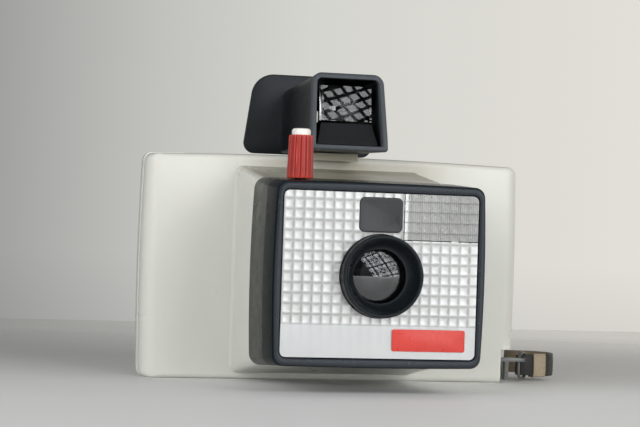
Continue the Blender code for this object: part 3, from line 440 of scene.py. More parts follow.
def foil():
    """Embossed silver sheet: bright, softly brushed, slightly cloudy with age, with painted shade along the
    ribs and towards the left.
    """
    t = new_tree("embossed_silver_foil")
    cloud = t.noise(45.0, 6.0, 0.6)
    axes = t.axes()
    strip = t.span(axes["Z"], STRIP_TOP * MM, (STRIP_TOP - 0.4) * MM, 0.0, 1.0)
    # Painted shade: darker lines along the ribs between the cells.
    cell_edge_lines = t.math("MAXIMUM", t.grooves(axes["X"], GRID_X0, CELL, 0.8),
                   t.grooves(axes["Z"], GRID_Z0, CELL_H, 0.9))
    silver = t.ramp(cloud, (0.3, (0.80, 0.80, 0.79)), (0.7, (0.89, 0.89, 0.88)))
    # Painted shade: the silver greys towards the left.
    silver = t.mix(t.span(axes["X"], 0.02, -0.035, 0.0, 0.2), silver, (0.6, 0.6, 0.595))
    silver = t.mix(t.math("MULTIPLY", cell_edge_lines, 0.65), silver, (0.26, 0.26, 0.255))
    t.paint(t.mix(strip, silver, (0.78, 0.79, 0.79)))
    rough = t.span(t.noise(220.0, 6.0, 0.7), 0.3, 0.7, 0.34, 0.42)
    t.roughen(t.math("ADD", rough, t.math("MULTIPLY", strip, 0.2)))
    t.bump((t.noise(1600.0, 2.0, 0.5, t.stretched((1.0, 1.0, 0.08))), 2e-5, 0.3),
           (t.noise(500.0, 3.0), 3e-5, 0.25))
    t.set(Metallic=0.78)
    return t.owner


FOIL = foil()


def lens_glass():
    t = new_tree("lens_glass")
    clear = (0.96, 0.97, 0.98)
    t.paint(t.ramp(t.noise(40.0), (0.3, shade(clear, 0.97)), (0.7, clear)))
    t.roughen(t.span(t.noise(160.0, 6.0), 0.35, 0.7, 0.0, 0.012))
    t.set(Transmission_Weight=1.0, IOR=1.7)
    return t.owner


OPTIC = lens_glass()


# ---------------------------------------------------------------- mesh helpers

def new_object(name, bm, mat, smooth=35.0):
    """A bmesh in millimetres as a named object in metres."""
    bmesh.ops.remove_doubles(bm, verts=bm.verts, dist=1e-5)
    bmesh.ops.recalc_face_normals(bm, faces=bm.faces)
    bmesh.ops.scale(bm, vec=(MM, MM, MM), verts=bm.verts)
    mesh = bpy.data.meshes.new(name)
    bm.to_mesh(mesh)
    bm.free()
    mesh.shade_smooth()
    mesh.set_sharp_from_angle(angle=math.radians(smooth))
    obj = bpy.data.objects.new(name, mesh)
    bpy.context.collection.objects.link(obj)
    if mat:
        mesh.materials.append(mat)
    return obj


def add_ring_stack(bm, rings, closed=False):
    rows = [[bm.verts.new(p) for p in ring] for ring in rings]
    pairs = list(zip(rows, rows[1:]))
    if closed:
        pairs.append((rows[-1], rows[0]))
    for a, b in pairs:
        n = len(a)
        for i in range(n):
            j = (i + 1) % n
            bm.faces.new((a[i], a[j], b[j], b[i]))
    if not closed:
        bm.faces.new(rows[0])
        bm.faces.new(list(reversed(rows[-1])))
    return rows


def stack(name, rings, mat=None, closed=False, smooth=35.0):
    bm = bmesh.new()
    add_ring_stack(bm, rings, closed)
    return new_object(name, bm, mat, smooth)


def box(name, lo, hi):
    (x0, y0, z0), (x1, y1, z1) = lo, hi
    return prism_z(name, ((x0, y0), (x1, y0), (x1, y1), (x0, y1)), z0, z1)


def arc(cx, cy, r, start, end, steps):
    """Points along an arc between two angles in degrees."""
    angles = [math.radians(start + (end - start) * k / steps) for k in range(steps + 1)]
    return [(cx + r * math.cos(t), cy + r * math.sin(t)) for t in angles]


def circle(centre, u, v, r, n):
    """A circle in the plane of two unit vectors."""
    angles = [2 * math.pi * i / n for i in range(n)]
    return [centre + (u * math.cos(t) + v * math.sin(t)) * r for t in angles]


def turned(name, centre, axis, profile, mat=None, n=96, closed=False, smooth=35.0):
    """A profile of (radius, distance along the axis) turned round an axis."""
    a = Vector(axis).normalized()
    u = Vector((1, 0, 0)) if abs(a.x) < 0.9 else Vector((0, 1, 0))
    u = (u - a * u.dot(a)).normalized()
    v = a.cross(u)
    rings = [circle(Vector(centre) + a * h, u, v, r, n) for r, h in profile]
    return stack(name, rings, mat, closed, smooth)


def rod(name, centre, axis, r, h0, h1, n=32):
    return turned(name, centre, axis, [(r, h0), (r, h1)], n=n)


def rounded(cx, cz, w, h, r, n=8, runs=1, low=None):
    """A rounded rectangle; runs cuts its straight sides, low is its lower corners' radius."""
    pts = []
    corners = ((1, 1, 0), (-1, 1, 90), (-1, -1, 180), (1, -1, 270))
    for sx, sz, start in corners:
        turn = low if low and sz < 0 else r
        pts += arc(cx + sx * (w / 2 - turn), cz + sz * (h / 2 - turn), turn, start, start + 90, n)
    if runs == 1:
        return pts
    out = []
    for i, (x0, z0) in enumerate(pts):
        x1, z1 = pts[(i + 1) % len(pts)]
        out.append((x0, z0))
        if (i + 1) % (n + 1) == 0:
            out += [(x0 + (x1 - x0) * k / runs, z0 + (z1 - z0) * k / runs) for k in range(1, runs)]
    return out


def at_y(points, y):
    return [(x, y, z) for x, z in points]


def prism_y(name, points, y0, y1):
    return stack(name, [at_y(points, y0), at_y(points, y1)])


def prism_z(name, points, z0, z1, mat=None):
    return stack(name, [[(x, y, z) for x, y in points] for z in (z0, z1)], mat)


def settle(obj, smooth=35.0):
    """Applies the modifiers to the mesh."""
    depsgraph = bpy.context.evaluated_depsgraph_get()
    mesh = bpy.data.meshes.new_from_object(obj.evaluated_get(depsgraph))
    obj.modifiers.clear()
    obj.data = mesh
    mesh.shade_smooth()
    mesh.set_sharp_from_angle(angle=math.radians(smooth))


def carve(obj, cuts=(), adds=(), keeps=(), smooth=35.0):
    """Adds, cuts and intersects tools, then removes them."""
    tools = [("UNION", o) for o in adds] + [("DIFFERENCE", o) for o in cuts]
    tools += [("INTERSECT", o) for o in keeps]
    for operation, tool in tools:
        mod = obj.modifiers.new("shape", "BOOLEAN")
        mod.operation = operation
        mod.object = tool
        mod.solver = "EXACT"
    settle(obj, smooth)
    for _, tool in tools:
        bpy.data.objects.remove(tool, do_unlink=True)
    return obj


def bevel(obj, width, segments):
    """Rounds the sharp edges of the mesh."""
    mod = obj.modifiers.new("edge", "BEVEL")
    mod.width = width * MM
    mod.segments = segments
    mod.limit_method = "ANGLE"
    mod.angle_limit = math.radians(40)
    mod.use_clamp_overlap = True
    settle(obj)


def piece(obj, body, slot, *nodes):
    """Says what a piece rides on and the CAD nodes it stands for; its slot is not used."""
    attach(obj, body)
    if nodes:
        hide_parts(*nodes)
    return obj


# ---------------------------------------------------------------- strap

STRAP_ROUTE = ((88.0, -8.2, 6.6), (92.4, -6.6, 6.6), (97.4, -4.2, 6.7), (101.2, 0.6, 6.8),
               (100.8, 6.6, 6.9), (96.6, 12.8, 6.9), (91.0, 18.4, 6.7), (87.8, 25.0, 6.4),
               (87.4, 32.0, 6.2), (87.2, 40.0, 5.9), (87.4, 48.0, 5.7), (88.2, 60.0, 5.6),
               (89.6, 72.0, 5.6), (89.8, 83.0, 5.6), (87.0, 91.4, 5.6), (81.6, 94.0, 5.6),
               (77.2, 90.0, 5.6), (76.0, 80.0, 5.6), (77.0, 66.0, 5.6), (79.4, 52.0, 5.6),
               (82.4, 40.0, 5.9), (83.6, 33.0, 6.2), (83.8, 25.0, 6.4))


def smooth_route(points, step):
    """Catmull-Rom curve through the route, resampled at an even step."""
    pts = [Vector(p) for p in points]
    pts = [2 * pts[0] - pts[1]] + pts + [2 * pts[-1] - pts[-2]]
    dense = []
    for i in range(1, len(pts) - 2):
        p0, p1, p2, p3 = pts[i - 1:i + 3]
        for k in range(24):
            t = k / 24
            dense.append(0.5 * (2 * p1 + (p2 - p0) * t + (2 * p0 - 5 * p1 + 4 * p2 - p3) * t * t
                                + (3 * p1 - p0 - 3 * p2 + p3) * t ** 3))
    dense.append(pts[-2])
    length = sum((b - a).length for a, b in zip(dense, dense[1:]))
    count = round(length / step)
    out = [dense[0]]
    walked = 0.0
    goal = length / count
    for a, b in zip(dense, dense[1:]):
        run = (b - a).length
        while walked + run >= goal - 1e-6 and len(out) < count:
            out.append(a + (b - a) * ((goal - walked) / run))
            goal += length / count
        walked += run
    out.append(dense[-1])
    return out, length


def leather(name, color, rough):
    """Grained leather cloth."""
    t = new_tree(name)
    cells = t.node("ShaderNodeTexVoronoi", feature="DISTANCE_TO_EDGE")
    cells.inputs["Scale"].default_value = 1500.0
    t.link(t.coord, cells.inputs["Vector"])
    creases = t.span(cells.outputs["Distance"], 0.0, 0.12, 0.0, 1.0)
    patches = t.ramp(t.noise(90.0), (0.3, shade(color, 0.8)), (0.7, shade(color, 1.25)))
    t.paint(t.mix(creases, shade(color, 0.55), patches))
    t.roughen(t.span(t.noise(300.0), 0.3, 0.7, rough - 0.08, rough + 0.1))
    t.bump((creases, 6e-5, 0.6), (t.noise(400.0), 1e-4, 0.3))
    return t.owner


STRAP_BLACK = leather("black_strap_leather", (0.022, 0.021, 0.02), 0.4)
STRAP_TAN = leather("tan_strap_lining", (0.26, 0.21, 0.15), 0.6)
STRAP_LOOP = leather("tan_strap_loop", (0.33, 0.27, 0.19), 0.55)


def beside(line, i):
    """Level direction square to the line at a point."""
    d = line[min(i + 1, len(line) - 1)] - line[max(i - 1, 0)]
    return Vector((d.y, -d.x, 0)).normalized()


def band(name, line, width, thick):
    """A standing flat band with rolled edges and a shallow groove near each of them."""
    n = 28
    rings = []
    for i, p in enumerate(line):
        side = beside(line, i)
        ring = []
        for k in range(n):
            t = 2 * math.pi * k / n
            c, s = math.cos(t), math.sin(t)
            across = math.copysign(abs(c) ** 0.35, c) * width / 2
            out = math.copysign(abs(s) ** 0.6, s) * thick / 2
            groove = 0.12 * math.exp(-((abs(across) - width / 2 + 1.1) / 0.22) ** 2)
            out -= math.copysign(groove, out) if abs(out) > groove else 0.0
            ring.append(p + side * out + UP * across)
        rings.append(ring)
    obj = stack(name, rings, STRAP_BLACK, smooth=60)
    obj.data.materials.append(STRAP_TAN)
    return obj


def make_strap():
    """The strap with its tan lining, and the tan loop round its first stretch."""
    line, length = smooth_route(STRAP_ROUTE, STRAP_STEP)
    strap = band("strap_band", line, STRAP_W, STRAP_T)
    loop = band("loop", line[1:6], STRAP_W + 0.5, STRAP_T + 1.0)
    loop.data.materials.clear()
    for face in strap.data.polygons:
        c = face.center / MM
        near = min(range(len(line)), key=lambda i: (line[i] - c).length_squared)
        if beside(line, near).dot(c - line[near]) < -0.3:
            face.material_index = 1
    bm = bmesh.new()
    bm.from_mesh(strap.data)
    first = len(bm.faces)
    bm.from_mesh(loop.data)
    bm.faces.ensure_lookup_table()
    for face in bm.faces[first:]:
        face.material_index = 2
    bm.to_mesh(strap.data)
    bm.free()
    strap.data.materials.append(STRAP_LOOP)
    bpy.data.objects.remove(loop, do_unlink=True)
    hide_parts("wrist_strap")
    return strap, line, length


def make_keeper():
    """Sleeve that holds the two sides of the strap's loop together."""
    x, y, z = KEEPER_AT
    rings = []
    for dy, rolled in ((-2.6, 0.5), (-2.45, 0.16), (-2.1, 0.0), (2.1, 0.0), (2.45, 0.16), (2.6, 0.5)):
        rings.append(at_y(rounded(x, z, KEEPER_W - rolled, KEEPER_H - rolled, 1.1, 5), y + dy))
    bore = rounded(x, z, KEEPER_W - 2 * KEEPER_WALL, KEEPER_H - 2 * KEEPER_WALL, 0.4, 5)
    rings += [at_y(bore, y + 2.6), at_y(bore, y - 2.6)]
    return piece(stack("strap_slide", rings, STRAP_BLACK, closed=True), "camera", "black_leather",
                 "strap_keeper")


STRAP, STRAP_LINE, STRAP_LENGTH = make_strap()
KEEPER = make_keeper()
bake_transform(STRAP)


# ---------------------------------------------------------------- body shells

def body_outline(half_w, half_h, r, y):
    """Bowed rounded rectangle at a depth."""
    out = []
    for x, z in rounded(0, 0, 2 * half_w, 2 * half_h, r, 10, 26):
        u = x / half_w
        v = z / half_h
        sag = TOP_BOW * v * u * u if v > 0 else 0.0
        out.append((x - END_BOW * u * v * v, y, MID_Z + z - sag))
    return out


def drawn_in(radius, depth, run=None):
    """How far a rounded edge has drawn in at a depth behind its face; run is its depth."""
    run = run or radius
    if depth >= run:
        return 0.0
    return radius - radius * math.sqrt(1 - ((run - depth) / run) ** 2)


def body_solid(name, inset=0.0, mat=None, proud=1.0):
    half_w = BODY_W / 2 - inset
    half_h = BODY_H / 2 - inset
    corner = max(CORNER_R - inset, 1.2)
    front = FRONT_END_R - inset, max(FRONT_EDGE_R - inset, 0.6)
    rear = REAR_END_R - inset, REAR_EDGE_R - inset
    rings = []
    for k in range(13):
        depth = front[0] * (1 - math.cos(math.pi / 2 * k / 12))
        dx, dz = drawn_in(front[0], depth), drawn_in(front[1], depth)
        rings.append(body_outline(half_w - dx, half_h - dz, corner, FRONT_Y + inset + depth))
    run = REAR_END_D - inset
    for k in range(20, -1, -1):
        depth = run * (1 - math.cos(math.pi / 2 * k / 20))
        dx, dz = drawn_in(rear[0], depth, run), drawn_in(rear[1], depth)
        rings.append(body_outline(half_w - dx, half_h - dz, corner, REAR_Y - inset - depth))
    rings = [[(x * proud, y, z * proud) for x, y, z in ring] for ring in rings]
    return stack(name, rings, mat, smooth=30)


def pedestal_ring(y, inset, flare=0.0):
    f = (FRONT_Y - y) / (FRONT_Y - PED_FRONT_Y)
    half_h = 41.0 - 6.4 * f
    cz = 43.6 + 0.3 * f
    w = PED_W - 0.8 * f + 2 * flare - 2 * inset
    return at_y(rounded(CX, cz, w, 2 * (half_h - inset), 3.2 - min(inset, 2.0), 8), y)


def pedestal_solid():
    rings = [pedestal_ring(FRONT_Y + 1.0, 0, 1.0), pedestal_ring(FRONT_Y, 0, 1.0)]
    for k in range(1, 9):
        t = math.pi / 2 * k / 8
        rings.append(pedestal_ring(FRONT_Y - 3.0 * math.sin(t), 0, (1 - math.sin(t)) ** 1.6))
    rings.append(pedestal_ring(PED_FRONT_Y, 0))
    return stack("t", rings, smooth=30)


def knuckle(z0, z1, to_x, y0, y1):
    """Barrel on the hinge's axis and the web that joins it to a shell."""
    hx, hy = HINGE
    barrel = rod("t", (hx, hy, 0), UP, KNUCKLE_R, z0, z1, n=40)
    lo, hi = sorted((hx + math.copysign(1.2, to_x - hx), to_x))
    return barrel, box("t", (lo, y0, z0), (hi, y1, z1))


def pin_bore():
    return rod("t", (*HINGE, 0), UP, HINGE_PIN_R + 0.3, 4, 86)


def make_front_housing():
    shell = body_solid("housing_shell", mat=CREAM)
    carve(shell, adds=[pedestal_solid()], smooth=28)
    inner = [pedestal_ring(y, PED_WALL) for y in (FRONT_Y + 4, PED_FRONT_Y + 2.0)]
    far = 101.0
    x1 = HINGE[0] + 3.3
    region = ((-far, SEAM_Y), (WRAP_X, SEAM_Y), (WRAP_X, DOOR_Y), (x1, DOOR_Y), (x1, far), (-far, far))
    light_hole = rounded(LENS.x, BOX_Z, 31, 27, 2)
    cuts = [body_solid("t", WALL), stack("t", inner), prism_z("t", region, -11, 111),
            prism_y("t", light_hole, PED_FRONT_Y - 2, PED_FRONT_Y + 6)]
    cuts += [rod("t", (x, 0, z), (0, 1, 0), 1.6, -72, -58) for x, z in SCREWS]
    carve(shell, cuts=cuts, smooth=28)
    adds = [box("t", (69.3, -17.6, 1.0), (75.6, -4.6, 15.4))]
    for z0, z1 in FRONT_KNUCKLES:
        adds += knuckle(z0, z1, 69.9, 12.4, 14.7)
    lug_pocket = box("t", (71.5, -25, -2), (85, -6.4, 13.6))
    lug_slot = box("t", (64.5, -16.9, 8.15), (80, -11.1, 10.35))
    carve(shell, adds=adds, cuts=[lug_pocket, lug_slot, pin_bore()], smooth=28)
    piece(shell, "camera", "cream_plastic", "front_housing")


def make_back_door():
    shell = body_solid("door_shell", mat=CREAM, proud=DOOR_PROUD)
    far = 100.0
    region = ((-far, SEAM_Y + GAP), (WRAP_X - GAP, SEAM_Y + GAP), (WRAP_X - GAP, DOOR_Y + GAP),
              (HINGE[0] - 2.8, DOOR_Y + GAP), (HINGE[0] - 2.8, far), (-far, far))
    carve(shell, cuts=[body_solid("t", WALL)], keeps=[prism_z("t", region, -10, 110)], smooth=28)
    paper_slot = box("t", (-90, ROLLER_Y - 1.5, 8), (-72, ROLLER_Y + 1.5, 82))
    latch_hole = box("t", (-60.4, 14, 38.6), (-47.6, 24, 51.4))
    carve(shell, adds=knuckle(*DOOR_KNUCKLE, 61.6, 15.4, 17.5),
          cuts=[pin_bore(), paper_slot, latch_hole], smooth=28)
    piece(shell, "door", "cream_plastic", "back_door")


make_front_housing()
make_back_door()


# ---------------------------------------------------------------- lens box

def box_ring(y, inset, r):
    """Outline of the lens box at a depth, its sides slightly bowed."""
    f = (PED_FRONT_Y - y) / (PED_FRONT_Y - BOX_FRONT_Y)
    w = BOX_REAR_W + (BOX_W - BOX_REAR_W) * f - 2 * inset
    h = BOX_REAR_H + (BOX_H - BOX_REAR_H) * f - 2 * inset
    ring = []
    for x, z in rounded(CX, BOX_Z, w, h, r, 10, 20):
        u = (x - CX) / (w / 2)
        v = (z - BOX_Z) / (h / 2)
        ring.append((x + BOX_BOW_X * u * (1 - v * v), y, z + BOX_BOW_Z * v * (1 - u * u)))
    return ring


def plate_ring(y, grow, r):
    """Outline round the face plate's own, larger by grow."""
    return at_y(rounded(CX, BOX_Z, PLATE_W + grow, PLATE_H + grow, r, 10, 20), y)


def make_front_box():
    rear = PED_FRONT_Y - GAP
    rings = [box_ring(rear, 0.35, 3.9), box_ring(rear - 0.15, 0.1, 4.1), box_ring(rear - 0.5, 0, 4.2),
             box_ring(BOX_FRONT_Y + 1.7, 0, 3.6)]
    for k in range(1, 9):
        t = math.pi / 2 * k / 8
        rings.append(box_ring(BOX_FRONT_Y + 1.5 * (1 - math.sin(t)), 1.25 * (1 - math.cos(t)),
                              3.6 - 0.6 * (1 - math.cos(t))))
    recess = 2 * GAP
    opening = -3.4
    rings += [plate_ring(BOX_FRONT_Y + 0.02, recess + 1.3, 3.0),
              plate_ring(BOX_FRONT_Y + 0.22, recess + 0.4, 2.6),
              plate_ring(BOX_FRONT_Y + 0.55, recess, 2.4), plate_ring(LIP_Y, recess, 2.4),
              plate_ring(LIP_Y, opening, 1.4), plate_ring(LIP_Y + 1.4, opening, 1.4),
              box_ring(LIP_Y + 1.4, BOX_WALL, 2.0), box_ring(rear, BOX_WALL, 2.4)]
    obj = stack("lens_box_shell", rings, BOX_BLACK, closed=True)
    carve(obj, cuts=[rod("t", (KNOB.x, KNOB.y, 0), UP, 2.9, 70, 90),
                     box("t", (25, -83.2, 61.8), (50, -76.8, 68.2))])
    piece(obj, "camera", "black_plastic", "front_box")


def dimple(x, z):
    """Height of the face plate's embossing: hollow square cells between narrow ribs."""
    i = (x - GRID_X0) / CELL
    j = (z - GRID_Z0) / CELL_H
    if not (0 <= i <= CELLS_X and 0 <= j <= CELLS_Z):
        return 0.0
    u = 2 * (i % 1.0) - 1
    v = 2 * (j % 1.0) - 1
    return DIMPLE * (1 - u * u) * (1 - v * v)


def relief_slab(name, xs, zs, y, depth, back, mat):
    """A slab whose front is a height field over the grid lines xs and zs."""
    bm = bmesh.new()
    front = [[bm.verts.new((x, y + depth(x, z), z)) for x in xs] for z in zs]
    rear = [[bm.verts.new((x, back, z)) for x in (xs[0], xs[-1])] for z in (zs[0], zs[-1])]
    for j in range(len(zs) - 1):
        for i in range(len(xs) - 1):
            bm.faces.new((front[j][i], front[j][i + 1], front[j + 1][i + 1], front[j + 1][i]))
    (a, b), (c, d) = rear
    bm.faces.new((a, b, d, c))
    bm.faces.new(front[0] + [b, a])
    bm.faces.new([r[-1] for r in front] + [d, b])
    bm.faces.new(front[-1][::-1] + [c, d])
    bm.faces.new([r[0] for r in front][::-1] + [a, c])
    return new_object(name, bm, mat, 40)


def grid_lines(start, cell, cells, lo, hi):
    """Grid lines that fall on the cells' edges, plus the plain margins."""
    per = 10
    inner = [start + cell * k / per for k in range(cells * per + 1)]
    return [lo] + [v for v in inner if lo + 0.05 < v < hi - 0.05] + [hi]


def make_face_plate():
    x0, x1 = CX - PLATE_W / 2, CX + PLATE_W / 2
    z0, z1 = BOX_Z - PLATE_H / 2, BOX_Z + PLATE_H / 2
    xs = grid_lines(GRID_X0, CELL, CELLS_X, x0 - 1, x1 + 1)
    zs = grid_lines(GRID_Z0, CELL_H, CELLS_Z, z0 - 1, z1 + 1)
    plate = relief_slab("face_foil", xs, zs, PLATE_Y, dimple, PLATE_Y + 1.4, FOIL)
    wx0, wx1, wz0, wz1 = METER_WIN
    win = rounded((wx0 + wx1) / 2, (wz0 + wz1) / 2, wx1 - wx0, wz1 - wz0, 2.0, 8)
    cuts = [rod("t", LENS, (0, 1, 0), BARREL_R + GAP, -110, -90, n=96), prism_y("t", win, -110, -90),
            box("t", (FLASH_X0, -110, FLASH_Z0), (60, -90, 90))]
    outline = rounded(CX, BOX_Z, PLATE_W, PLATE_H, 2.1, 10)
    carve(plate, cuts=cuts, keeps=[prism_y("t", outline, -110, -90)], smooth=40)
    piece(plate, "camera", "silver_foil", "face_plate")


def make_label():
    rings = []
    for proud, smaller, r in ((0.55, 0.3, 0.55), (0.45, 0.0, 0.7), (0.3, 0.0, 0.7)):
        outline = rounded(LABEL_X, LABEL_Z, LABEL_W - smaller, LABEL_H - smaller, r, 6, 3)
        rings.append(at_y(outline, PLATE_Y - proud))
    piece(stack("blank_label", rings, LABEL), "camera", "label_red", "label_plate")


def smoked():
    """Smoky plastic over a dark well, with a faint fine grid moulded behind it."""
    t = new_tree("smoked_meter_pane")
    color = (0.032, 0.034, 0.036)
    wave = t.node("ShaderNodeTexWave", wave_type="BANDS", bands_direction="X")
    wave.inputs["Scale"].default_value = 500.0
    t.link(t.coord, wave.inputs["Vector"])
    cloudy = t.ramp(t.noise(60.0, 4.0), (0.3, shade(color, 0.8)), (0.7, shade(color, 1.2)))
    t.paint(t.mix(t.span(wave.outputs["Fac"], 0.2, 0.9, 0.0, 0.5), cloudy, shade(color, 0.55)))
    t.roughen(t.span(t.noise(240.0), 0.3, 0.7, 0.26, 0.38))
    t.bump((t.noise(500.0), 2e-5, 0.2))
    return t.owner


def make_meter_pane():
    x0, x1, z0, z1 = METER_WIN
    cx, cz = (x0 + x1) / 2, (z0 + z1) / 2
    w, h = x1 - x0 - 0.16, z1 - z0 - 0.16
    rings = []
    for behind, inset, r in ((-0.02, 2.2, 1.0), (-0.2, 1.0, 1.5), (-0.14, 0.3, 1.7), (0.05, 0.0, 1.8),
                             (1.2, 0.0, 1.8)):
        rings.append(at_y(rounded(cx, cz, w - inset, h - inset, r, 8, 4), PLATE_Y + behind))
    piece(stack("meter_pane", rings, smoked(), smooth=50), "camera", "smoked_plastic", "meter_window")


def ribbed(x, z):
    """Flash cover: fine upright ribs laid over shallow cells."""
    rib = 0.05 * math.sin(math.pi * x / 0.82) ** 2
    edge = 0.2 if x < FLASH_X0 + 1.6 else 1.0
    return (rib + 0.45 * dimple(min(x, 29.9), min(z, 74.0))) * edge


def flash_screen():
    """Greyed silvery plastic, clear silver along the hinge."""
    t = new_tree("ribbed_flash_cover")
    axes = t.axes()
    film = t.ramp(t.noise(50.0, 5.0), (0.3, (0.29, 0.29, 0.285)), (0.7, (0.38, 0.38, 0.37)))
    hinge_side = t.span(axes["X"], (FLASH_X0 + 2.1) * MM, (FLASH_X0 + 1.3) * MM, 0.0, 0.8)
    film = t.mix(hinge_side, film, (0.8, 0.8, 0.79))
    # Darker lines along the rows of cells.
    cell_edge_lines = t.grooves(axes["Z"], GRID_Z0, CELL_H, 0.5)
    t.paint(t.mix(t.math("MULTIPLY", cell_edge_lines, 0.6), film, (0.1, 0.1, 0.1)))
    t.roughen(t.span(t.noise(260.0), 0.3, 0.7, 0.22, 0.36))
    t.set(Metallic=0.62)
    return t.owner


def make_flash_cover():
    x1, z1, r = CX + PLATE_W / 2, BOX_Z + PLATE_H / 2, 2.1
    x0, z0 = FLASH_X0 + GAP, FLASH_Z0 + GAP
    across, up = 0.136, 0.3
    xs = [x0 - 0.5 + across * k for k in range(int((x1 - x0 + 1) / across) + 1)]
    zs = [z0 - 0.5 + up * k for k in range(int((z1 - z0 + 1) / up) + 1)]
    cover = relief_slab("flash_screen", xs, zs, PLATE_Y, ribbed, PLATE_Y + 1.2, flash_screen())
    pts = [(x0, z0), (x1, z0)] + arc(x1 - r, z1 - r, r, 0, 90, 8) + [(x0, z1)]
    carve(cover, keeps=[prism_y("t", pts, -110, -90)], smooth=35)
    piece(cover, "flash_flap", "smoked_plastic", "flash_cover")


make_front_box()
make_face_plate()
make_label()
make_meter_pane()
make_flash_cover()


# ---------------------------------------------------------------- lens

def make_barrel():
    front = BARREL_Y
    seat = LENS_R + 0.3
    tail = LENS_R + 2.0
    neck = BARREL_R - 1.5
    flange = BARREL_R + 1.7
    profile = [(BARREL_R, FLANGE_Y - 2.1), (BARREL_R, front + 1.1)]
    profile += arc(BARREL_R - 0.75, front + 0.75, 0.75, 0, -180, 8)
    profile += [(13.4, front + 1.3), (12.9, front + 2.2), (LENS_R + 1.4, LENS_Y - 1.6),
                (LENS_R - 0.1, LENS_Y - 0.8), (LENS_R - 0.1, LENS_Y - 0.2), (seat, LENS_Y - 0.2),
                (seat, TAIL_Y), (tail, TAIL_Y), (tail, FLANGE_Y + 1.1), (flange, FLANGE_Y + 1.1),
                (flange, FLANGE_Y), (neck, FLANGE_Y), (neck, FLANGE_Y - 2.1)]
    obj = turned("lens_hood", LENS, (0, 1, 0), profile, HOOD, n=128, closed=True)
    piece(obj, "camera", "black_plastic", "lens_barrel")


def make_lens():
    n = 16
    front = LENS_Y + 0.1
    radii = [max(0.02, (LENS_R - 0.1) * k / n) for k in range(n + 1)]
    rings = [(r, front + 1.5 * (r / LENS_R) ** 2) for r in radii]
    rings += [(r, front + 1.6 + 1.2 * (r / LENS_R) ** 2) for r in reversed(radii)]
    obj = turned("taking_lens", LENS, (0, 1, 0), rings, OPTIC, n=96, smooth=50)
    piece(obj, "camera", "clear_plastic", "lens_element")


make_barrel()
make_lens()


# ---------------------------------------------------------------- exposure knob

def flute_ring(z, r, depth):
    ring = []
    per = 16
    for i in range(KNOB_FLUTES * per):
        t = 2 * math.pi * i / (KNOB_FLUTES * per)
        groove = max(0.0, math.cos(KNOB_FLUTES * t)) ** 3
        rr = r - depth * groove
        ring.append((KNOB.x + rr * math.cos(t), KNOB.y + rr * math.sin(t), z))
    return ring


def make_knob():
    z0 = KNOB.z
    top = z0 + KNOB_H
    bore = 3.9
    rings = [flute_ring(z0, KNOB_R - 0.7, 0), flute_ring(z0 + 0.15, KNOB_R - 0.25, 0.2),
             flute_ring(z0 + 0.5, KNOB_R, 0.5)]
    for k in range(1, 8):
        rings.append(flute_ring(z0 + (KNOB_H - 1.0) * k / 8, KNOB_R + (KNOB_TOP_R - KNOB_R) * k / 8, 0.5))
    rings += [flute_ring(top - 1.0, KNOB_TOP_R, 0.5), flute_ring(top - 0.45, KNOB_TOP_R - 0.05, 0.3),
              flute_ring(top - 0.1, KNOB_TOP_R - 0.2, 0.1), flute_ring(top, KNOB_TOP_R - 0.45, 0),
              flute_ring(top, bore + 0.05, 0), flute_ring(top - 0.1, bore, 0), flute_ring(z0 + 3.0, bore, 0),
              flute_ring(z0 + 3.0, 2.5, 0), flute_ring(z0, 2.5, 0)]
    piece(stack("knob_sleeve", rings, RED, closed=True, smooth=45), "knob", "red_plastic", "exposure_knob")
    head = [(1.15, 50.0), (1.15, top - 2.4), (3.5, top - 2.4)]
    head += arc(2.5, top + 1.4, 1.0, 0, 90, 6) + [(0.3, top + 2.4)]
    obj = turned("plunger_button", (KNOB.x, KNOB.y, 0), UP, head, WHITE, n=64)
    piece(obj, "plunger", "white_plastic", "shutter_plunger")


def make_plunger_spring():
    """Return spring in the knob's bore: its foot sits in the knob, its head under the plunger."""
    foot, head = KNOB.z + 3.2, KNOB.z + KNOB_H - 2.6
    radius, wire, turns, per = 2.7, 0.35, 5, 28
    rise = (head - foot - 2 * wire) / (turns * per)
    rings = []
    for i in range(turns * per + 1):
        t = 2 * math.pi * i / per
        out = Vector((math.cos(t), math.sin(t), 0))
        centre = Vector((KNOB.x, KNOB.y, foot + wire + rise * i)) + out * radius
        rings.append(circle(centre, out, UP, wire, 10))
    coil = stack("plunger_coil", rings, STEEL, smooth=60)
    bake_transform(coil)
    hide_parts("plunger_spring")


make_knob()
make_plunger_spring()


# ---------------------------------------------------------------- finder

def finder_ring(y, inset):
    """Outline of the finder at a depth: wider at the bottom, its front leaning back at the top."""
    f = (y - FINDER_FRONT_Y) / (FINDER_REAR_Y - FINDER_FRONT_Y)
    w = FINDER_W - 6.5 * f - 2 * inset
    z0 = FINDER_Z0 + 0.7 * f + inset
    z1 = FINDER_Z1 - 2.6 * f - inset
    radii = [max(r - inset, 0.6) for r in (FINDER_TOP_R, FINDER_LOW_R)]
    pts = rounded(CX, (z0 + z1) / 2, w, z1 - z0, radii[0], 10, 8, radii[1])
    near = max(0.0, 1 - (y - FINDER_FRONT_Y) / FINDER_LEAN_RUN)
    ring = []
    for x, z in pts:
        up = (z - FINDER_Z0) / (FINDER_Z1 - FINDER_Z0)
        lean = FINDER_LEAN * near * max(0.0, up - 0.12)
        ring.append((CX + (x - CX) * (1 + FINDER_SPREAD * (0.5 - up)), y + lean, z))
    return ring


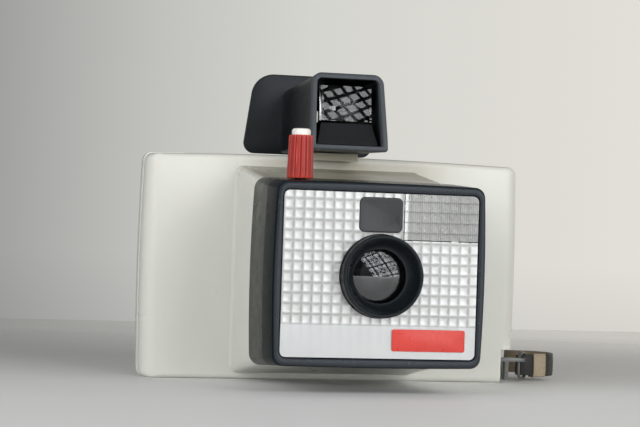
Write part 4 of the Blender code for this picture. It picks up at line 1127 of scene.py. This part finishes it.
def make_finder():
    front = FINDER_FRONT_Y
    rear = FINDER_REAR_Y - GAP
    step = front + 2.6
    depths = [step + 0.3 + (rear - step - 0.3) * k / 12 for k in range(13)]
    rings = [finder_ring(y, 0.0) for y in depths] + [finder_ring(y, 1.3) for y in reversed(depths)]
    obj = stack("finder_shell", rings, TUNNEL, closed=True)
    piece(obj, "camera", "satin_black_plastic", "finder_tunnel")
    rings = [finder_ring(step, 0.0), finder_ring(front + 0.7, 0.0), finder_ring(front + 0.35, 0.08),
             finder_ring(front + 0.1, 0.3), finder_ring(front, 0.6), finder_ring(front, 1.6),
             finder_ring(front + 0.12, 1.9), finder_ring(front + 0.5, 2.1), finder_ring(step, 2.1)]
    obj = stack("finder_front_frame", rings, SATIN, closed=True)
    piece(obj, "camera", "satin_black_plastic", "finder_frame")


def dished_block(name, cx, cz, w, h, y_face, y_back, depth, back_depth, lean, nx, nz, mat):
    """A rectangular lens with a round hollow in each face, leaning back at the top."""
    corner = math.hypot(w / 2, h / 2)
    bm = bmesh.new()
    grids = []
    for y, hollow in ((y_face, depth), (y_back, -back_depth)):
        grid = []
        for j in range(nz + 1):
            z = h * (j / nz - 0.5)
            row = [(w * (i / nx - 0.5), hollow * (1 - (math.hypot(w * (i / nx - 0.5), z) / corner) ** 2))
                   for i in range(nx + 1)]
            grid.append([bm.verts.new((cx + x, y + dish + lean * z, cz + z)) for x, dish in row])
        grids.append(grid)
    rims = []
    for grid in grids:
        for j in range(nz):
            for i in range(nx):
                bm.faces.new((grid[j][i], grid[j][i + 1], grid[j + 1][i + 1], grid[j + 1][i]))
        rims.append(grid[0] + [r[-1] for r in grid[1:]] + grid[-1][-2::-1] + [r[0] for r in grid[-2:0:-1]])
    for a, b, c, d in zip(rims[0], rims[0][1:] + rims[0][:1], rims[1][1:] + rims[1][:1], rims[1]):
        bm.faces.new((a, b, c, d))
    return new_object(name, bm, mat, 30)


def make_finder_optics():
    y = FINDER_FRONT_Y + GLASS_BACK
    obj = dished_block("finder_glass", CX, GLASS_Z, GLASS_W, GLASS_H, y, y + GLASS_T, 0.94, 2.1, GLASS_LEAN,
                       40, 26, OPTIC)
    piece(obj, "camera", "clear_plastic", "finder_front_lens")
    y = FINDER_REAR_Y - 3.2
    obj = dished_block("finder_eye_glass", CX, EYE_GLASS_Z, 6.0, 4.2, y, y + 1.0, 0.1, 0.1, 0.0, 10, 8, OPTIC)
    piece(obj, "camera", "clear_plastic", "finder_rear_lens")


def make_eye_plate():
    half = EYE_PLATE_W / 2
    z0, z1 = EYE_PLATE_Z0, EYE_PLATE_Z1

    def outline(inset):
        low, high = 4.5, 9.5
        right = arc(half - low, z0 + low, low - inset, -90, 0, 9)
        right += arc(half - 12.2, z1 - high, high - inset, 10, 90, 17)
        return [(CX + x, z) for x, z in right] + [(CX - x, z) for x, z in reversed(right)]

    y = FINDER_REAR_Y
    rings = [at_y(outline(0.55), y), at_y(outline(0.2), y + 0.1), at_y(outline(0.0), y + 0.5),
             at_y(outline(0.0), y + 1.4), at_y(outline(0.2), y + 1.85), at_y(outline(0.6), y + 2.0)]
    obj = stack("eye_shield", rings, TUNNEL, smooth=50)
    carve(obj, cuts=[prism_y("t", rounded(CX, 107.0, 15.0, 12.0, 2.0, 8), y - 3, y + 5)], smooth=50)
    piece(obj, "camera", "satin_black_plastic", "eye_plate")


make_finder()
make_finder_optics()
make_eye_plate()


# ---------------------------------------------------------------- strap hardware

def make_lug():
    hx, hy = LUG_HOLE
    pts = [(67.5, hy - LUG_R)] + arc(hx, hy, LUG_R, -90, 90, 24) + [(67.5, hy + LUG_R)]
    lug = prism_z("lug_bracket", pts, 8.5, 10.0, OLD_STEEL)
    leg = prism_y("t", ((72.6, 9.0), (74.2, 1.0), (75.9, 1.0), (77.0, 9.0)), hy - 0.9, hy + 0.9)
    carve(lug, adds=[box("t", (74.2, hy - LUG_R, 1.0), (75.9, hy + LUG_R, 9.0)), leg],
          cuts=[rod("t", (hx, hy, 0), UP, 1.5, 6, 12, n=48)])
    bevel(lug, 0.2, 2)
    piece(lug, "camera", "steel", "strap_lug")


def make_ring(centre, along):
    path = rounded(0, 0, RING_W, RING_H, 3.0, 12, 4)
    flat = along.cross(UP)
    rings = []
    for i, (x, z) in enumerate(path):
        ax, az = path[i - 1]
        bx, bz = path[(i + 1) % len(path)]
        out = (along * (bx - ax) + UP * (bz - az)).normalized().cross(flat).normalized()
        rings.append(circle(centre + along * x + UP * z, out, flat, RING_WIRE_R, 20))
    ring = stack("ring_wire", rings, OLD_STEEL, closed=True, smooth=60)
    piece(ring, "ring", "steel", "strap_ring")


def make_end_roll(bar):
    """The strap's end, rolled round the ring's outer bar."""
    spiral = []
    for k in range(41):
        t = math.radians(30 - 330 * k / 40)
        r = 1.75 + 0.5 * k / 40
        spiral.append(Vector((bar.x - 0.7 + 1.55 * r * math.cos(t), bar.y + 0.9 * r * math.sin(t), 6.9)))
    roll = band("strap_end_roll", spiral, STRAP_W - 1.0, STRAP_T * 0.8)
    piece(roll, "ring", "black_leather")


def make_strap_hardware():
    make_lug()
    swing = math.radians(RING_SWING)
    along = Vector((math.cos(swing), math.sin(swing), 0))
    centre = Vector((*LUG_HOLE, RING_Z)) + along * 3.6
    make_ring(centre, along)
    make_end_roll(centre + along * RING_W / 2)


make_strap_hardware()


# ---------------------------------------------------------------- nodes that keep their shape

KEPT = {
    MATTE: ("film_chamber", "lens_retainer", "shutter_plate", "meter_tunnel", "eyepiece_board",
            "flash_socket", "meter_hood"),
    BLACK: ("door_latch", "bulb_ejector"),
    SHADED_CREAM: ("finder_base",),
    STEEL: ("front_roller", "rear_roller", "hinge_pin", "pressure_plate", "pressure_spring",
            "battery_left", "battery_right", *(f"box_screw_{k}" for k in range(1, 5))),
    BLUED: ("roller_frame", "aperture_vane", "shutter_blade", "exposure_shaft"),
    BRASS: ("battery_contact_left", "battery_contact_right", "battery_spring_left",
            "battery_spring_right"),
    PAPER: ("positive_roll", "negative_roll"),
    WHITE: ("positive_spool", "negative_spool"),
    FOIL: ("flash_reflector",),
    OPTIC: ("meter_lamp",),
}
for mat, names in KEPT.items():
    for name in names:
        mesh = NODES[name].data
        mesh.materials.clear()
        mesh.materials.append(mat)


# ---------------------------------------------------------------- stage

AIM = (0, 0, 0.05)
FRONT_LIGHT = 0.38
TOP_LIGHT = 0.35


def area(name, place, size, power, color):
    data = bpy.data.lights.new(name, "AREA")
    data.energy = power
    data.size = size
    data.color = color
    obj = bpy.data.objects.new(name, data)
    bpy.context.collection.objects.link(obj)
    obj.location = place
    obj.rotation_euler = (Vector(AIM) - Vector(place)).to_track_quat("-Z", "Y").to_euler()
    obj.visible_glossy = False
    obj.visible_transmission = False


def reflected(name, centre, quads, mat):
    """Flat shapes square to the line from the origin, seen only as a reflection in gloss and glass."""
    turn = Vector(centre).to_track_quat("Z", "Y").to_matrix()
    bm = bmesh.new()
    for quad in quads:
        bm.faces.new([bm.verts.new((turn @ Vector(c) + Vector(centre)) / MM) for c in quad])
    obj = new_object(name, bm, mat)
    obj.visible_camera = False
    obj.visible_diffuse = False
    obj.visible_shadow = False


def window_lattice(name, centre, wide, high, columns, rows, bar, power):
    """Bright slanted panes between dark bars."""
    mat = bpy.data.materials.new(name)
    mat.use_nodes = True
    nt = mat.node_tree
    nt.nodes.remove(nt.nodes["Principled BSDF"])
    glow = nt.nodes.new("ShaderNodeEmission")
    glow.inputs["Color"].default_value = (0.93, 0.97, 1.0, 1.0)
    glow.inputs["Strength"].default_value = power
    nt.links.new(glow.outputs[0], nt.nodes["Material Output"].inputs["Surface"])
    down = Vector((0.55, -0.835, 0.0))
    along = Vector((0.97, 0.22, 0.0))
    panes = []
    for i in range(columns):
        for j in range(rows):
            a0, a1 = (((i + t) / columns - 0.5) * wide for t in (bar, 1 - bar))
            b0, b1 = (((j + t) / rows - 0.5) * high for t in (bar, 1 - bar))
            panes.append([along * a + down * b for a, b in ((a0, b0), (a1, b0), (a1, b1), (a0, b1))])
    reflected(name, centre, panes, mat)


def dark_board(name, centre, wide, high):
    """The unlit side of the room."""
    t = new_tree(name)
    t.paint(t.ramp(t.noise(2.0), (0.3, (0.012, 0.012, 0.012)), (0.7, (0.03, 0.03, 0.03))))
    t.set(Roughness=0.9)
    corners = [(a * wide / 2, b * high / 2, 0) for a, b in ((-1, -1), (1, -1), (1, 1), (-1, 1))]
    reflected(name, centre, [corners], t.owner)


def make_table():
    # Painted shade and light: the table darkens towards the back, most on the left, and lightens again at the
    # far right, to meet the room's tone at its edge.
    t = new_tree("table_painted_shade")
    axes = t.axes()
    across = t.span(axes["X"], -0.12, 0.3, 0.0, 1.0)
    back = t.span(axes["Y"], -0.12, 0.55, 0.0, 1.0)
    left = t.ramp(back, (0.0, (0.96, 0.97, 0.98)), (0.2, (0.79, 0.79, 0.79)), (0.5, (0.56, 0.56, 0.56)),
                  (0.85, (0.53, 0.53, 0.52)), (1.0, (0.54, 0.54, 0.53)))
    right = t.ramp(back, (0.0, (0.96, 0.97, 0.98)), (0.25, (0.80, 0.80, 0.79)), (0.5, (0.88, 0.88, 0.86)),
                   (1.0, (0.98, 0.97, 0.94)))
    t.paint(t.mix(across, left, right))
    dull = t.span(axes["Y"], 0.0, 0.4, 0.6, 0.2)
    t.roughen(t.math("ADD", dull, t.span(t.noise(9.0, 5.0), 0.3, 0.7, -0.03, 0.03)))
    t.set(Specular_IOR_Level=0.5)
    edge, bend = 560.0, 80.0
    drop = [(-1900.0, 0.0)] + arc(edge - bend, -bend, bend, 90, 0, 12) + [(edge, -400.0)]
    bm = bmesh.new()
    rows = [[bm.verts.new((x, y, z)) for y, z in drop] for x in (-2200.0, 2200.0)]
    for i in range(len(drop) - 1):
        bm.faces.new((rows[0][i], rows[0][i + 1], rows[1][i + 1], rows[1][i]))
    new_object("table_top", bm, t.owner, 60)


def make_room():
    """The world's light by direction."""
    world = bpy.data.worlds.new("room")
    t = Tree(world, "Generated")
    axes = t.axes()

    def fade(axis, low, high, *stops):
        return t.ramp(t.span(axes[axis], low, high, 0.0, 1.0), *stops)

    white = (1.0, 1.0, 1.0)
    wall = fade("X", 0.06, 0.42, (0.0, (0.28, 0.285, 0.272)), (0.3, (0.53, 0.53, 0.51)),
                (0.5, (0.66, 0.66, 0.62)), (1.0, (0.78, 0.75, 0.70)))
    front = fade("Y", -0.4, 0.6, (0.0, (FRONT_LIGHT,) * 3), (1.0, white))
    above = fade("Z", 0.15, 0.75, (0.0, white), (1.0, (TOP_LIGHT,) * 3))
    low = fade("Z", -0.05, -0.01, (0.0, (0.86, 0.86, 0.865)), (1.0, white))
    level = t.mix(1.0, t.mix(1.0, wall, front, "MULTIPLY"), t.mix(1.0, above, low, "MULTIPLY"), "MULTIPLY")
    glow = t.nt.nodes["Background"]
    t.link(level, glow.inputs["Color"])
    glow.inputs["Strength"].default_value = 1.0
    bpy.context.scene.world = world


make_table()
make_room()
area("window_light", (1.15, -2.1, 0.8), 1.6, 38.0, (1.0, 0.995, 0.98))
area("left_light", (-1.9, -1.75, 0.62), 1.6, 49.0, (0.99, 0.99, 0.985))
area("front_fill", (-0.5, -2.4, 0.5), 2.2, 26.0, (0.99, 0.99, 0.985))
dark_board("dark_side", (-0.35, -3.3, 0.55), 4.4, 2.7)
window_lattice("window_panes", (1.12, -2.15, 0.8), 2.5, 2.1, 10, 9, 0.17, 3.0)
bpy.context.scene.view_settings.view_transform = "Standard"
